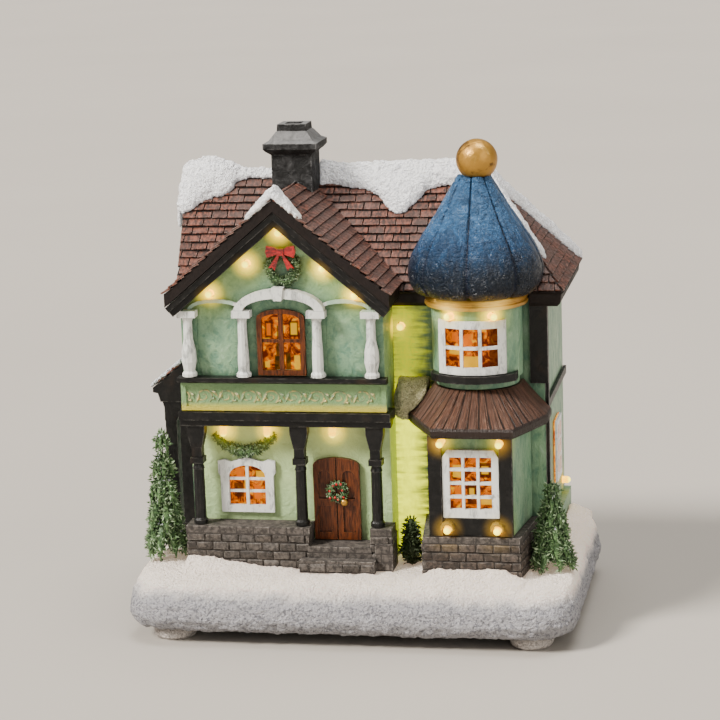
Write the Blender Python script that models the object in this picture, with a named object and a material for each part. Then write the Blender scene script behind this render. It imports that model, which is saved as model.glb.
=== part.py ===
"""Lit Christmas village house: cast resin shells on a snowy base, with LED bulbs and a battery holder.

Sizes are in millimetres and are turned into metres as each object is made. X runs to the right,
Y to the back and Z up. The origin lies on the floor under the middle of the base.
"""
import math

import bmesh
import bpy
from mathutils import Matrix, Vector

MM = 0.001

# Gap between pieces that seat on each other, and a hair that cutters pass beyond what they cut
GAP = 0.3
PAST = 2.0
WALL = 3.0

# Snowy base
BASE_SIDE = 16.5
BASE_DEPTH = 129.0
BASE_Y = 4.5
BASE_LOW = 5.2
BASE_TOP = 25.0
BASE_CORNER = 17.0
SNOW_BUMP = 0.8
CAVITY_WIDTH = 112.0
CAVITY_DEPTH = 88.0
CEILING = 4.0
RECESS_DEPTH = 6.3
FOOT_RADIUS = 8.75
FOOT_IN_X = 19.2
FOOT_IN_Y = 15.5

# Base plate with the battery holder and its switch
PLATE_WIDTH = 119.4
PLATE_DEPTH = 95.4
PLATE_THICK = 2.0
CELL_RADIUS = 7.2
CELL_LENGTH = 50.5
CELL_PITCH = 14.8
HOLDER_WALL = 1.5
CONTACT_THICK = 0.6
SPRING_LENGTH = 3.4
SPRING_RADIUS = 3.2
HOLDER_X = -26.0
HOLDER_Y = 12.5
DOOR_THICK = 1.5
RAIL_THICK = 1.1
SWITCH_X = 40.0
SWITCH_Y = -30.0
SWITCH_TRAVEL = 4.0

# Main house
HOUSE_LEFT = -72.0
HOUSE_RIGHT = 75.0
BASE_WIDTH = 2 * (HOUSE_RIGHT + BASE_SIDE)
HOUSE_FRONT = -8.0
HOUSE_BACK = 60.0
FOOTING_TOP = 36.0
FOOTING_OUT = 2.6
STONE_FRONT = -33.2
EAVE_FRONT = -13.0
EAVE_BACK = 64.0
EAVE_RIGHT = 82.5
EAVE_LOW = 129.3
EAVE_BOX = 5.0
RIDGE_Y = (EAVE_FRONT + EAVE_BACK) / 2
RIDGE_Z = 176.9
EAVE_TILES = 135.4
HIP_X = 47.0
MAIN_RISE = (RIDGE_Z - EAVE_TILES) / (RIDGE_Y - EAVE_FRONT)
HIP_RISE = (RIDGE_Z - EAVE_TILES) / (EAVE_RIGHT - HIP_X)
VERGE_LEFT = -77.0
VERGE_LEAN = 3.4
ROOF_THICK = 3.0
COURSES = 14
COURSE_STEP = 0.9
VERGE_STEP = 0.5

# Gabled wing with the porch below
WING_X = -27.0
WING_HALF = 41.0
WING_FRONT = -30.0
PORCH_WALL = -22.0
WING_APEX = 176.0
WING_EAVE = 45.2
WING_FOOT = 138.0
WING_RISE = (WING_APEX - WING_FOOT) / WING_EAVE
WING_ROOF_FRONT = -38.5
WING_COURSES = 12
BEAM_LOW = 84.0
BEAM_HIGH = 90.0
FRIEZE_TOP = 101.6
LEDGE_TOP = 104.3
TRIM_FRONT = -34.0
COLUMN_TOP = 131.0
COLUMN_OFFSETS = (-37.6, -15.3, 14.9, 36.6)
ARCH_CROWN = 140.0
CASEMENT_WIDTH = 19.5
CASEMENT_LOW = 104.9
CASEMENT_HIGH = 131.6
PORCH_POSTS = (-63.7, -21.5, 9.4)
POST_LOW = 42.8
PORCH_WINDOW_X = -45.2
PORCH_WINDOW_WIDTH = 22.0
PORCH_WINDOW_LOW = 46.0
PORCH_WINDOW_HIGH = 68.0
DOOR_X = -8.2
DOOR_WIDTH = 19.0
DOOR_LOW = 35.3
DOOR_HIGH = 69.3
STEP_LEFT = -18.4
STEP_RIGHT = 6.7

# Round tower on its square bay
TOWER_X = 49.0
TOWER_Y = -14.0
DRUM_RADIUS = 18.0
ROUND_STEPS = 32
DRUM_WALL = 2.5
NECK_RADIUS = 16.6
AWNING_TOP = 99.2
DRUM_LOW = AWNING_TOP + GAP
DRUM_SWELL = DRUM_LOW + 2.7
DOME_LOW = DRUM_SWELL + 33.8
RING_RADIUS = 20.6
RING_LOW = DOME_LOW - 4.7
SEAMS = 10
BALL_RADIUS = 8.2
BALL_X = 50.4
BALL_Z = DOME_LOW + 52.2
BAY_FRONT = -38.0
BAY_LEFT = 32.0
BAY_RIGHT = 65.3
BAY_SPLAY = 3.8
BAY_TOP = 83.3
AWNING_LOW = BAY_TOP + GAP
AWNING_EDGE = 87.6
PLINTH_TOP = 42.2
PLINTH_OUT = 3.6
UPPER_FRAME = (-13.3, 13.3, DRUM_SWELL + 3.6, DRUM_SWELL + 25.0)
UPPER_OPENING = (-10.4, 10.4, DRUM_SWELL + 6.6, DRUM_SWELL + 22.0)
LOWER_FRAME = (37.6, 59.9, 49.9, 77.3)
LOWER_OPENING = (40.4, 57.1, 53.4, 74.4)

# Bulbs
BULB_RADIUS = 1.5
BULB_OUT = 1.8
WIRE_RADIUS = 0.5


def new_material(name, colour, roughness, metallic=0.0, glow=0.0):
    material = bpy.data.materials.new(name)
    material.use_nodes = True
    shader = material.node_tree.nodes["Principled BSDF"]
    shader.inputs["Base Color"].default_value = (*colour, 1.0)
    shader.inputs["Roughness"].default_value = roughness
    shader.inputs["Metallic"].default_value = metallic
    shader.inputs["Emission Color"].default_value = (*colour, 1.0)
    shader.inputs["Emission Strength"].default_value = glow
    material.diffuse_color = (*colour, 1.0)
    return material


def place(name, shape, material, pivot=None, sharp=32.0):
    """Makes the object from a shape in millimetres, with the middle of the base over the world's origin."""
    to_middle = Vector((0.0, -BASE_Y, 0.0))
    origin = Vector(pivot) + to_middle if pivot else Vector()
    shape.transform(Matrix.Translation(to_middle - origin))
    shape.transform(Matrix.Scale(MM, 4))
    mesh = bpy.data.meshes.new(name)
    shape.to_mesh(mesh)
    shape.free()
    mesh.shade_smooth()
    mesh.set_sharp_from_angle(angle=math.radians(sharp))
    mesh.materials.append(material)
    obj = bpy.data.objects.new(name, mesh)
    obj.location = origin * MM
    bpy.context.collection.objects.link(obj)
    return obj


def lofted(rings):
    """A closed shape through rings of equal length, with flat ends."""
    shape = bmesh.new()
    loops = [[shape.verts.new(point) for point in ring] for ring in rings]
    for lower, upper in zip(loops, loops[1:]):
        for k in range(len(lower)):
            after = (k + 1) % len(lower)
            shape.faces.new((lower[k], lower[after], upper[after], upper[k]))
    shape.faces.new(loops[0])
    shape.faces.new(loops[-1])
    bmesh.ops.recalc_face_normals(shape, faces=shape.faces)
    return shape


def extruded(outline, axis, low, high):
    """A prism: the outline lies in the other two axes, in X, Y, Z order."""
    at = "XYZ".index(axis)

    def ring(level):
        return [tuple(point[:at]) + (level,) + tuple(point[at:]) for point in outline]

    return lofted([ring(low), ring(high)])


def block(x, y, z):
    return extruded([(x[0], y[0]), (x[1], y[0]), (x[1], y[1]), (x[0], y[1])], "Z", z[0], z[1])


def turned(profile, steps, centre=(0.0, 0.0)):
    """A shape turned about a vertical axis, from a profile of radius and height."""
    rings = []
    for radius, height in profile:
        ring = []
        for k in range(steps):
            angle = 2 * math.pi * (k + 0.5) / steps
            ring.append((centre[0] + radius * math.cos(angle), centre[1] + radius * math.sin(angle), height))
        rings.append(ring)
    return lofted(rings)


def turned_along(profile, steps, start, direction):
    """The same shape with its axis along a direction, from a start point."""
    shape = turned(profile, steps)
    turn = Vector((0, 0, 1)).rotation_difference(Vector(direction)).to_matrix().to_4x4()
    shape.transform(Matrix.Translation(Vector(start)) @ turn)
    return shape


def helper(shape):
    mesh = bpy.data.meshes.new("helper")
    shape.to_mesh(mesh)
    shape.free()
    obj = bpy.data.objects.new("helper", mesh)
    obj.hide_render = True
    obj.display_type = "WIRE"
    bpy.context.collection.objects.link(obj)
    return obj


def combined(first, operation, second):
    """The Boolean result of two closed shapes."""
    body = helper(first)
    tool = helper(second)
    step = body.modifiers.new("combine", "BOOLEAN")
    step.operation = operation
    step.solver = "EXACT"
    step.object = tool
    bpy.context.view_layer.update()
    graph = bpy.context.evaluated_depsgraph_get()
    mesh = bpy.data.meshes.new_from_object(body.evaluated_get(graph))
    result = bmesh.new()
    result.from_mesh(mesh)
    for used in (body, tool):
        used_mesh = used.data
        bpy.data.objects.remove(used)
        bpy.data.meshes.remove(used_mesh)
    bpy.data.meshes.remove(mesh)
    bmesh.ops.dissolve_limit(
        result, angle_limit=math.radians(0.05), verts=result.verts, edges=result.edges
    )
    return result


def cut(shape, *tools):
    for tool in tools:
        shape = combined(shape, "DIFFERENCE", tool)
    return shape


def fused(shape, *others):
    for other in others:
        shape = combined(shape, "UNION", other)
    return shape


def common(shape, other):
    return combined(shape, "INTERSECT", other)


def rounded_rectangle(half_x, low_y, high_y, corner, level, steps=6):
    """Points round a rectangle with round corners, counter-clockwise from above."""
    corners = (
        (half_x - corner, high_y - corner, 0),
        (-half_x + corner, high_y - corner, 90),
        (-half_x + corner, low_y + corner, 180),
        (half_x - corner, low_y + corner, 270),
    )
    ring = []
    for x, y, start in corners:
        for k in range(steps + 1):
            angle = math.radians(start + 90.0 * k / steps)
            ring.append((x + corner * math.cos(angle), y + corner * math.sin(angle), level))
    return ring


def arched(centre, half, low, spring, rise, steps=10):
    """An outline with upright sides and an arched top, in the plane of a wall."""
    points = [(centre - half, low), (centre + half, low), (centre + half, spring)]
    for k in range(1, steps):
        angle = math.pi * k / steps
        points.append((centre + half * math.cos(angle), spring + rise * math.sin(angle)))
    points.append((centre - half, spring))
    return points


def panes(x_edges, z_edges, bar):
    """The see-through rectangles of a window between its glazing bars."""
    found = []
    for left, right in zip(x_edges, x_edges[1:]):
        for low, high in zip(z_edges, z_edges[1:]):
            found.append((left + bar / 2, right - bar / 2, low + bar / 2, high - bar / 2))
    return found


def evenly(low, high, count):
    return [low + (high - low) * k / count for k in range(count + 1)]


# Clear the scene
for old in list(bpy.data.objects):
    bpy.data.objects.remove(old)

# Paints and materials
SNOW = new_material("white snow paint", (0.86, 0.87, 0.90), 0.8)
MINT = new_material("mint plaster paint", (0.42, 0.62, 0.50), 0.5)
TILE = new_material("reddish tile paint", (0.26, 0.12, 0.09), 0.6)
TIMBER = new_material("black timber paint", (0.03, 0.03, 0.035), 0.4)
WHITE = new_material("white trim paint", (0.83, 0.84, 0.85), 0.5)
STONE = new_material("grey stone paint", (0.17, 0.16, 0.17), 0.7)
DOOR_WOOD = new_material("brown door paint", (0.30, 0.12, 0.05), 0.45)
GREEN = new_material("dark green foliage paint", (0.06, 0.13, 0.06), 0.6)
RED = new_material("red ribbon paint", (0.55, 0.02, 0.03), 0.4)
DOME_BLUE = new_material("blue dome paint", (0.07, 0.16, 0.30), 0.35, 0.3)
GOLD = new_material("worn gold paint", (0.62, 0.42, 0.14), 0.35, 0.7)
FILM = new_material("lit window film", (0.95, 0.45, 0.08), 0.4, 0.0, 0.8)
PLANK = new_material("brown plank paint", (0.20, 0.12, 0.09), 0.6)
BULB = new_material("warm bulb resin", (1.0, 0.85, 0.45), 0.2, 0.0, 1.5)
PLASTIC = new_material("black moulded plastic", (0.05, 0.05, 0.05), 0.5)
STEEL = new_material("plated steel", (0.6, 0.6, 0.6), 0.3, 1.0)
CELL_JACKET = new_material("grey cell jacket", (0.25, 0.27, 0.30), 0.35, 0.2)

CAVITY_TOP = BASE_TOP - CEILING
PLATE_LOW = BASE_LOW + RECESS_DEPTH - GAP - PLATE_THICK
PLATE_HIGH = PLATE_LOW + PLATE_THICK
GROUND = BASE_TOP + GAP

# Battery holder: three cells side by side along X
HOLDER_HALF_X = (CELL_LENGTH + SPRING_LENGTH + 2 * CONTACT_THICK + 3 * GAP) / 2
HOLDER_HALF_Y = CELL_PITCH + CELL_RADIUS + GAP
HOLDER_LOW = PLATE_HIGH + GAP
CELL_Z = PLATE_LOW + CELL_RADIUS + GAP
HOLDER_HIGH = CELL_Z + CELL_RADIUS + GAP + HOLDER_WALL
HOLDER_OUT_X = HOLDER_HALF_X + HOLDER_WALL
HOLDER_OUT_Y = HOLDER_HALF_Y + HOLDER_WALL
HOLE_CLEAR = 1.0


def base_ring(inset_side, inset_front, inset_back, level, bump):
    """One level of the snow: a round-cornered outline, drawn in and made uneven."""
    half_x = BASE_WIDTH / 2 - inset_side
    low_y = BASE_Y - BASE_DEPTH / 2 + inset_front
    high_y = BASE_Y + BASE_DEPTH / 2 - inset_back
    corner = max(BASE_CORNER - min(inset_side, inset_front) * 0.5, 6.0)
    ring = rounded_rectangle(half_x, low_y, high_y, corner, level, 5)
    filled = []
    for k, (x, y, z) in enumerate(ring):
        after = ring[(k + 1) % len(ring)]
        filled.append((x, y, z))
        run = math.hypot(after[0] - x, after[1] - y)
        step_count = 7 if run > BASE_DEPTH * 0.9 else 4 if run > BASE_CORNER * 1.5 else 0
        for j in range(1, step_count):
            t = j / step_count
            filled.append((x + (after[0] - x) * t, y + (after[1] - y) * t, z))
    uneven = []
    for x, y, z in filled:
        wave = bump * math.sin(x * 0.11 + z * 0.4) * math.cos(y * 0.13 + z * 0.2)
        distance = math.hypot(x, y)
        uneven.append((x - x / distance * abs(wave), y - y / distance * abs(wave), z + wave * 0.6))
    return uneven


BANK_GAP = 0.4
BANK_REACH = 8.5
BANK_SLOPE = ((0.0, 1.0), (0.12, 0.96), (0.4, 0.66), (0.72, 0.26), (1.0, -0.2))
SIDE_BANK = ((-4.0, 1.0), (6.0, 4.0), (26.0, 5.2), (46.0, 5.4), (58.0, 4.2), (63.0, 1.6))
PORCH_BANK = ((-68.6, 5.6), (-60.0, 5.4), (-52.0, 3.4), (-40.0, 1.7), (-25.0, 0.5))
TOWER_BANK = ((27.4, 1.6), (34.0, 4.2), (48.0, 4.6), (62.0, 4.2), (69.0, 1.4))


def bank(face, stations, way):
    """Snow against a wall's face: a station is a place along the wall and a height; way is where it lies."""
    rings = []
    for place_along, height in stations:
        section = [(0.0, BASE_TOP - 3.0)]
        section += [(BANK_REACH * out, BASE_TOP + height * share) for out, share in BANK_SLOPE]
        section.append((BANK_REACH, BASE_TOP - 3.0))
        if way == "front":
            rings.append([(place_along, face - out, level) for out, level in section])
        else:
            rings.append([(face + out, place_along, level) for out, level in section])
    return lofted(rings)


def make_base():
    outside = lofted([
        base_ring(6.0, 6.0, 6.0, BASE_LOW, 0.0),
        base_ring(2.4, 2.4, 2.4, 7.2, SNOW_BUMP * 0.5),
        base_ring(0.4, 0.4, 0.4, 11.0, SNOW_BUMP),
        base_ring(1.4, 1.6, 1.0, 16.0, SNOW_BUMP),
        base_ring(2.2, 5.0, 2.6, 20.4, SNOW_BUMP),
        base_ring(3.6, 9.5, 4.8, 23.2, SNOW_BUMP),
        base_ring(5.4, 14.5, 7.6, BASE_TOP, 0.0),
    ])
    recess = block(
        (-PLATE_WIDTH / 2 - GAP, PLATE_WIDTH / 2 + GAP),
        (BASE_Y - PLATE_DEPTH / 2 - GAP, BASE_Y + PLATE_DEPTH / 2 + GAP),
        (BASE_LOW - PAST, BASE_LOW + RECESS_DEPTH),
    )
    cavity = block(
        (-CAVITY_WIDTH / 2, CAVITY_WIDTH / 2), (BASE_Y - CAVITY_DEPTH / 2, BASE_Y + CAVITY_DEPTH / 2),
        (BASE_LOW, CAVITY_TOP)
    )
    outside = fused(
        outside,
        bank(STONE_FRONT - 0.5 - BANK_GAP, PORCH_BANK, "front"),
        bank(BAY_FRONT - PLINTH_OUT - BANK_GAP, TOWER_BANK, "front"),
        bank(HOUSE_RIGHT + FOOTING_OUT + BANK_GAP, SIDE_BANK, "right"),
    )
    holder_hole = block(
        (HOLDER_X - HOLDER_OUT_X - HOLE_CLEAR, HOLDER_X + HOLDER_OUT_X + HOLE_CLEAR),
        (HOLDER_Y - HOLDER_OUT_Y - HOLE_CLEAR, HOLDER_Y + HOLDER_OUT_Y + HOLE_CLEAR),
        (CAVITY_TOP - PAST, BASE_TOP + PAST),
    )
    return cut(outside, recess, cavity, holder_hole)


place("snow_base", make_base(), SNOW)

for side_name, side_y in (("front", -1), ("rear", 1)):
    for hand_name, hand_x in (("left", -1), ("right", 1)):
        foot_profile = [
            (FOOT_RADIUS - 1.3, 0.0), (FOOT_RADIUS - 0.3, 1.1), (FOOT_RADIUS, 2.6),
            (FOOT_RADIUS - 0.5, 4.0), (FOOT_RADIUS - 1.0, BASE_LOW - GAP),
        ]
        foot_x = hand_x * (BASE_WIDTH / 2 - FOOT_IN_X)
        foot_y = BASE_Y + side_y * (BASE_DEPTH / 2 - FOOT_IN_Y)
        foot = turned(foot_profile, 20, (foot_x, foot_y))
        place(f"foot_{side_name}_{hand_name}", foot, SNOW)


# Base plate: the battery opening, the switch slot and the two rails of the sliding cover
RAIL_Y = HOLDER_HALF_Y + 3.0
DOOR_HIGH_Z = PLATE_LOW - GAP
DOOR_LOW_Z = DOOR_HIGH_Z - DOOR_THICK
RAIL_LIP_HIGH = DOOR_LOW_Z - GAP
RAIL_LIP_LOW = RAIL_LIP_HIGH - RAIL_THICK
DOOR_HALF_Y = RAIL_Y - GAP
LIP_REACH = 2.2
DOOR_HALF_X = HOLDER_HALF_X + 1.0
SLOT_LENGTH = SWITCH_TRAVEL + 4.0 + 2 * GAP
SLOT_HALF = 1.6


def make_plate():
    plate = block(
        (-PLATE_WIDTH / 2, PLATE_WIDTH / 2), (BASE_Y - PLATE_DEPTH / 2, BASE_Y + PLATE_DEPTH / 2),
        (PLATE_LOW, PLATE_HIGH)
    )
    rail_from = HOLDER_X - DOOR_HALF_X - GAP
    rail_to = PLATE_WIDTH / 2 - GAP
    for side in (-1, 1):
        near = side * RAIL_Y
        far = side * (RAIL_Y + RAIL_THICK)
        inner = side * (RAIL_Y - LIP_REACH)
        rail = [
            (HOLDER_Y + near, PLATE_LOW + 0.5), (HOLDER_Y + far, PLATE_LOW + 0.5),
            (HOLDER_Y + far, RAIL_LIP_LOW), (HOLDER_Y + inner, RAIL_LIP_LOW),
            (HOLDER_Y + inner, RAIL_LIP_HIGH), (HOLDER_Y + near, RAIL_LIP_HIGH),
        ]
        plate = fused(plate, extruded(rail, "X", rail_from, rail_to))
    opening = block(
        (HOLDER_X - HOLDER_HALF_X, HOLDER_X + HOLDER_HALF_X),
        (HOLDER_Y - HOLDER_HALF_Y, HOLDER_Y + HOLDER_HALF_Y),
        (PLATE_LOW - PAST, PLATE_HIGH + PAST),
    )
    slot = block(
        (SWITCH_X - SLOT_LENGTH / 2, SWITCH_X + SLOT_LENGTH / 2),
        (SWITCH_Y - SLOT_HALF - GAP, SWITCH_Y + SLOT_HALF + GAP),
        (PLATE_LOW - PAST, PLATE_HIGH + PAST),
    )
    return cut(plate, opening, slot)


place("base_plate", make_plate(), PLASTIC)

holder = block(
    (HOLDER_X - HOLDER_OUT_X, HOLDER_X + HOLDER_OUT_X),
    (HOLDER_Y - HOLDER_OUT_Y, HOLDER_Y + HOLDER_OUT_Y),
    (HOLDER_LOW, HOLDER_HIGH),
)
holder_room = block(
    (HOLDER_X - HOLDER_HALF_X, HOLDER_X + HOLDER_HALF_X),
    (HOLDER_Y - HOLDER_HALF_Y, HOLDER_Y + HOLDER_HALF_Y),
    (HOLDER_LOW - PAST, HOLDER_HIGH - HOLDER_WALL),
)
place("battery_box", cut(holder, holder_room), PLASTIC)

# Cells: the nub points to the plain contact, the flat end to the spring, turned about by turns
CONTACT_LOW = PLATE_LOW + GAP
CONTACT_HIGH = HOLDER_HIGH - HOLDER_WALL - GAP
CONTACT_HALF_Y = HOLDER_HALF_Y - GAP
LEFT_PLATE = HOLDER_X - HOLDER_HALF_X + GAP
RIGHT_PLATE = HOLDER_X + HOLDER_HALF_X - GAP
NUB = 1.2
for number in range(3):
    cell_y = HOLDER_Y + (number - 1) * CELL_PITCH
    to_left = number % 2 == 0
    start_x = LEFT_PLATE + CONTACT_THICK + GAP if to_left else RIGHT_PLATE - CONTACT_THICK - GAP
    cell_profile = [
        (2.6, 0.0), (2.6, NUB), (CELL_RADIUS - 0.5, NUB), (CELL_RADIUS, NUB + 0.5),
        (CELL_RADIUS, CELL_LENGTH - 0.5), (CELL_RADIUS - 0.5, CELL_LENGTH - GAP),
    ]
    cell = turned_along(cell_profile, 16, (start_x, cell_y, CELL_Z), (1 if to_left else -1, 0, 0))
    place(f"battery_cell_{number + 1}", cell, CELL_JACKET)

# Contact strips with their coned springs, drawn solid
for strip, plate_x, inward, sprung in (("left", LEFT_PLATE, 1, (1,)), ("right", RIGHT_PLATE, -1, (0, 2))):
    contact = block(
        sorted((plate_x, plate_x + inward * CONTACT_THICK)),
        (HOLDER_Y - CONTACT_HALF_Y, HOLDER_Y + CONTACT_HALF_Y),
        (CONTACT_LOW, CONTACT_HIGH),
    )
    for number in sprung:
        spring_start = (plate_x + inward * CONTACT_THICK * 0.5, HOLDER_Y + (number - 1) * CELL_PITCH, CELL_Z)
        spring_reach = SPRING_LENGTH + CONTACT_THICK * 0.5
        spring = turned_along(
            [(SPRING_RADIUS, 0.0), (SPRING_RADIUS * 0.6, spring_reach)], 12, spring_start, (inward, 0, 0)
        )
        contact = fused(contact, spring)
    place(f"battery_contact_{strip}", contact, STEEL)


def make_cover():
    """The sliding cover: a flat panel with a thumb recess between two ribs."""
    cover = block(
        (HOLDER_X - DOOR_HALF_X, HOLDER_X + DOOR_HALF_X),
        (HOLDER_Y - DOOR_HALF_Y, HOLDER_Y + DOOR_HALF_Y),
        (DOOR_LOW_Z, DOOR_HIGH_Z),
    )
    for rib in range(3):
        rib_x = HOLDER_X + DOOR_HALF_X - 5.0 - rib * 2.4
        grip = block(
            (rib_x - 0.5, rib_x + 0.5), (HOLDER_Y - 7.0, HOLDER_Y + 7.0), (DOOR_LOW_Z - 0.7, DOOR_LOW_Z + 0.5)
        )
        cover = fused(cover, grip)
    return cover


place("battery_door", make_cover(), PLASTIC, (HOLDER_X, HOLDER_Y, DOOR_LOW_Z))

# Slide switch: a steel case over the slot, and the knob that shows through it
KNOB_REST = SWITCH_X - SWITCH_TRAVEL / 2
FLANGE_HALF = 4.4
FLANGE_THICK = 1.0
CASE_HALF_X = FLANGE_HALF + SWITCH_TRAVEL / 2 + GAP
CASE_LOW = PLATE_HIGH + GAP
CASE_HIGH = CASE_LOW + FLANGE_THICK + 3.0
case = block(
    (SWITCH_X - CASE_HALF_X - 1.0, SWITCH_X + CASE_HALF_X + 1.0), (SWITCH_Y - 4.0, SWITCH_Y + 4.0),
    (CASE_LOW, CASE_HIGH)
)
case_room = block(
    (SWITCH_X - CASE_HALF_X, SWITCH_X + CASE_HALF_X),
    (SWITCH_Y - 3.0, SWITCH_Y + 3.0),
    (CASE_LOW - PAST, CASE_LOW + FLANGE_THICK + GAP),
)
place("switch_body", cut(case, case_room), STEEL)
knob = block(
    (KNOB_REST - 2.0, KNOB_REST + 2.0), (SWITCH_Y - SLOT_HALF, SWITCH_Y + SLOT_HALF),
    (PLATE_LOW - 2.0, CASE_LOW + 0.5)
)
flange = block(
    (KNOB_REST - FLANGE_HALF, KNOB_REST + FLANGE_HALF),
    (SWITCH_Y - 3.0 + GAP, SWITCH_Y + 3.0 - GAP),
    (CASE_LOW, CASE_LOW + FLANGE_THICK),
)
place("switch_knob", fused(knob, flange), PLASTIC, (KNOB_REST, SWITCH_Y, PLATE_LOW))


# Main house: four walls under a roof that is gabled on the left and hipped on the right
def slant(rise, depth):
    """How far down a sloping face moves when it is drawn in by a depth, square to itself."""
    return depth * math.hypot(1.0, rise)


def hip_section(depth, level):
    """Front, back and right edges of the roof at a level, drawn in by a depth."""
    half = (RIDGE_Z - slant(MAIN_RISE, depth) - level) / MAIN_RISE
    right = HIP_X + (RIDGE_Z - slant(HIP_RISE, depth) - level) / HIP_RISE
    return RIDGE_Y - half, RIDGE_Y + half, right


def hip_ring(depth, level, left):
    front, back, right = hip_section(depth, level)
    left += VERGE_LEAN * (RIDGE_Z - level) / (RIDGE_Z - EAVE_TILES)
    return [(left, front, level), (right, front, level), (right, back, level), (left, back, level)]


def hip_shape(depth, low, left):
    """The space under the main roof's faces, down to a level."""
    top = RIDGE_Z - slant(MAIN_RISE, depth)
    front, back, right = hip_section(depth, low)
    ridge_right = hip_section(depth, top)[2]
    shape = bmesh.new()
    floor = [shape.verts.new(point) for point in
             ((left, front, low), (right, front, low), (right, back, low), (left, back, low))]
    ridge = [shape.verts.new((left, RIDGE_Y, top)), shape.verts.new((ridge_right, RIDGE_Y, top))]
    shape.faces.new(floor)
    shape.faces.new((floor[0], floor[1], ridge[1], ridge[0]))
    shape.faces.new((floor[1], floor[2], ridge[1]))
    shape.faces.new((floor[2], floor[3], ridge[0], ridge[1]))
    shape.faces.new((floor[3], floor[0], ridge[0]))
    bmesh.ops.recalc_face_normals(shape, faces=shape.faces)
    return shape


FAR = 200.0
WALL_TOP_DEPTH = ROOF_THICK + GAP
ROOF_TOP = RIDGE_Z + 10.0


def roof_clearance(extra=GAP):
    """The main roof with its courses and a gap round it, which what stands on it is cut by."""
    room = common(
        hip_shape(-COURSE_STEP - extra, EAVE_LOW - extra, VERGE_LEFT - VERGE_STEP - extra),
        block(
            (VERGE_LEFT - FAR, EAVE_RIGHT + COURSE_STEP + extra),
            (EAVE_FRONT - COURSE_STEP - extra, EAVE_BACK + COURSE_STEP + extra),
            (EAVE_LOW - extra, ROOF_TOP),
        ),
    )
    return room


def dome_profile(grown=0.0):
    """Radius and height of the onion, from its rim to the seat of the ball."""
    outline = (
        (21.6, 0.0), (23.8, 1.2), (25.8, 4.4), (26.5, 9.6), (25.0, 15.0), (21.9, 20.8),
        (18.0, 26.8), (14.2, 32.6), (10.8, 38.4), (8.0, 43.0), (6.5, 45.6),
    )
    points = [(radius + grown, DOME_LOW + height) for radius, height in outline]
    points[0] = (points[0][0], points[0][1] - grown)
    points[-1] = (points[-1][0], points[-1][1] + grown)
    return points


def make_house():
    outside = common(
        hip_shape(WALL_TOP_DEPTH, GROUND, HOUSE_LEFT),
        block((HOUSE_LEFT - PAST, HOUSE_RIGHT), (HOUSE_FRONT, HOUSE_BACK), (GROUND - PAST, FAR)),
    )
    inside = block(
        (HOUSE_LEFT + WALL, HOUSE_RIGHT - WALL),
        (HOUSE_FRONT + WALL, HOUSE_BACK - WALL),
        (GROUND - PAST, FAR),
    )
    footing = block(
        (HOUSE_LEFT + WALL, HOUSE_RIGHT + FOOTING_OUT), (HOUSE_BACK - WALL / 2, HOUSE_BACK + FOOTING_OUT),
        (GROUND, FOOTING_TOP),
    )
    side_footing = block(
        (HOUSE_RIGHT - WALL / 2, HOUSE_RIGHT + FOOTING_OUT), (HOUSE_FRONT + 20.0, HOUSE_BACK + FOOTING_OUT),
        (GROUND, FOOTING_TOP),
    )
    wing_opening = block(
        (WING_X - WING_HALF + 8.0, WING_X + WING_HALF - 8.0),
        (HOUSE_FRONT - PAST, HOUSE_FRONT + WALL + PAST),
        (GROUND - PAST, EAVE_LOW - 4.0),
    )
    tower_opening = block(
        (BAY_LEFT + 6.0, BAY_RIGHT - 6.0), (HOUSE_FRONT - PAST, HOUSE_FRONT + WALL + PAST),
        (GROUND - PAST, 78.0)
    )
    drum_opening = block(
        (TOWER_X - 9.0, TOWER_X + 9.0), (HOUSE_FRONT - PAST, HOUSE_FRONT + WALL + PAST), (100.0, 120.0)
    )
    house = cut(outside, inside)
    house = fused(house, footing, side_footing)
    house = cut(house, wing_opening, tower_opening, drum_opening)
    bulb_room = BULB_RADIUS + GAP
    recess_bulb = turned_along([(bulb_room, 0.0), (bulb_room, WALL + 2 * PAST)], 10,
                               (RECESS_BULB[0], HOUSE_FRONT - PAST, RECESS_BULB[1]), (0, 1, 0))
    side_bulb = turned_along([(bulb_room, 0.0), (bulb_room, WALL + 2 * PAST)], 10,
                             (HOUSE_RIGHT + PAST, SIDE_BULB[0], SIDE_BULB[1]), (-1, 0, 0))
    side_hole = block((HOUSE_RIGHT - WALL - PAST, HOUSE_RIGHT + PAST), SIDE_WINDOW_Y, SIDE_WINDOW_Z)
    dome_room = turned(dome_profile(GAP + 0.5), ROUND_STEPS, (TOWER_X, TOWER_Y))
    return cut(house, recess_bulb, side_bulb, side_hole, dome_room)


RECESS_BULB = (17.3, 120.3)
SIDE_BULB = (52.0, 41.5)
SIDE_WINDOW_Y = (21.0, 34.0)
SIDE_WINDOW_Z = (51.5, 72.5)
SIDE_FRAME_BORDER = 2.4
SIDE_FRAME_THICK = 1.4
place("house_walls", make_house(), MINT)


def window_frame(outer, opening, columns, rows, bar, axis, low, high):
    """A flat frame with glazing bars: a border and a bar lattice, cut from one plate."""
    frame = extruded(outer, axis, low, high)
    left, right, bottom, top = opening
    for x0, x1, z0, z1 in panes(evenly(left - bar / 2, right + bar / 2, columns),
                                evenly(bottom - bar / 2, top + bar / 2, rows), bar):
        frame = cut(frame, extruded([(x0, z0), (x1, z0), (x1, z1), (x0, z1)], axis, low - PAST, high + PAST))
    return frame


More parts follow.
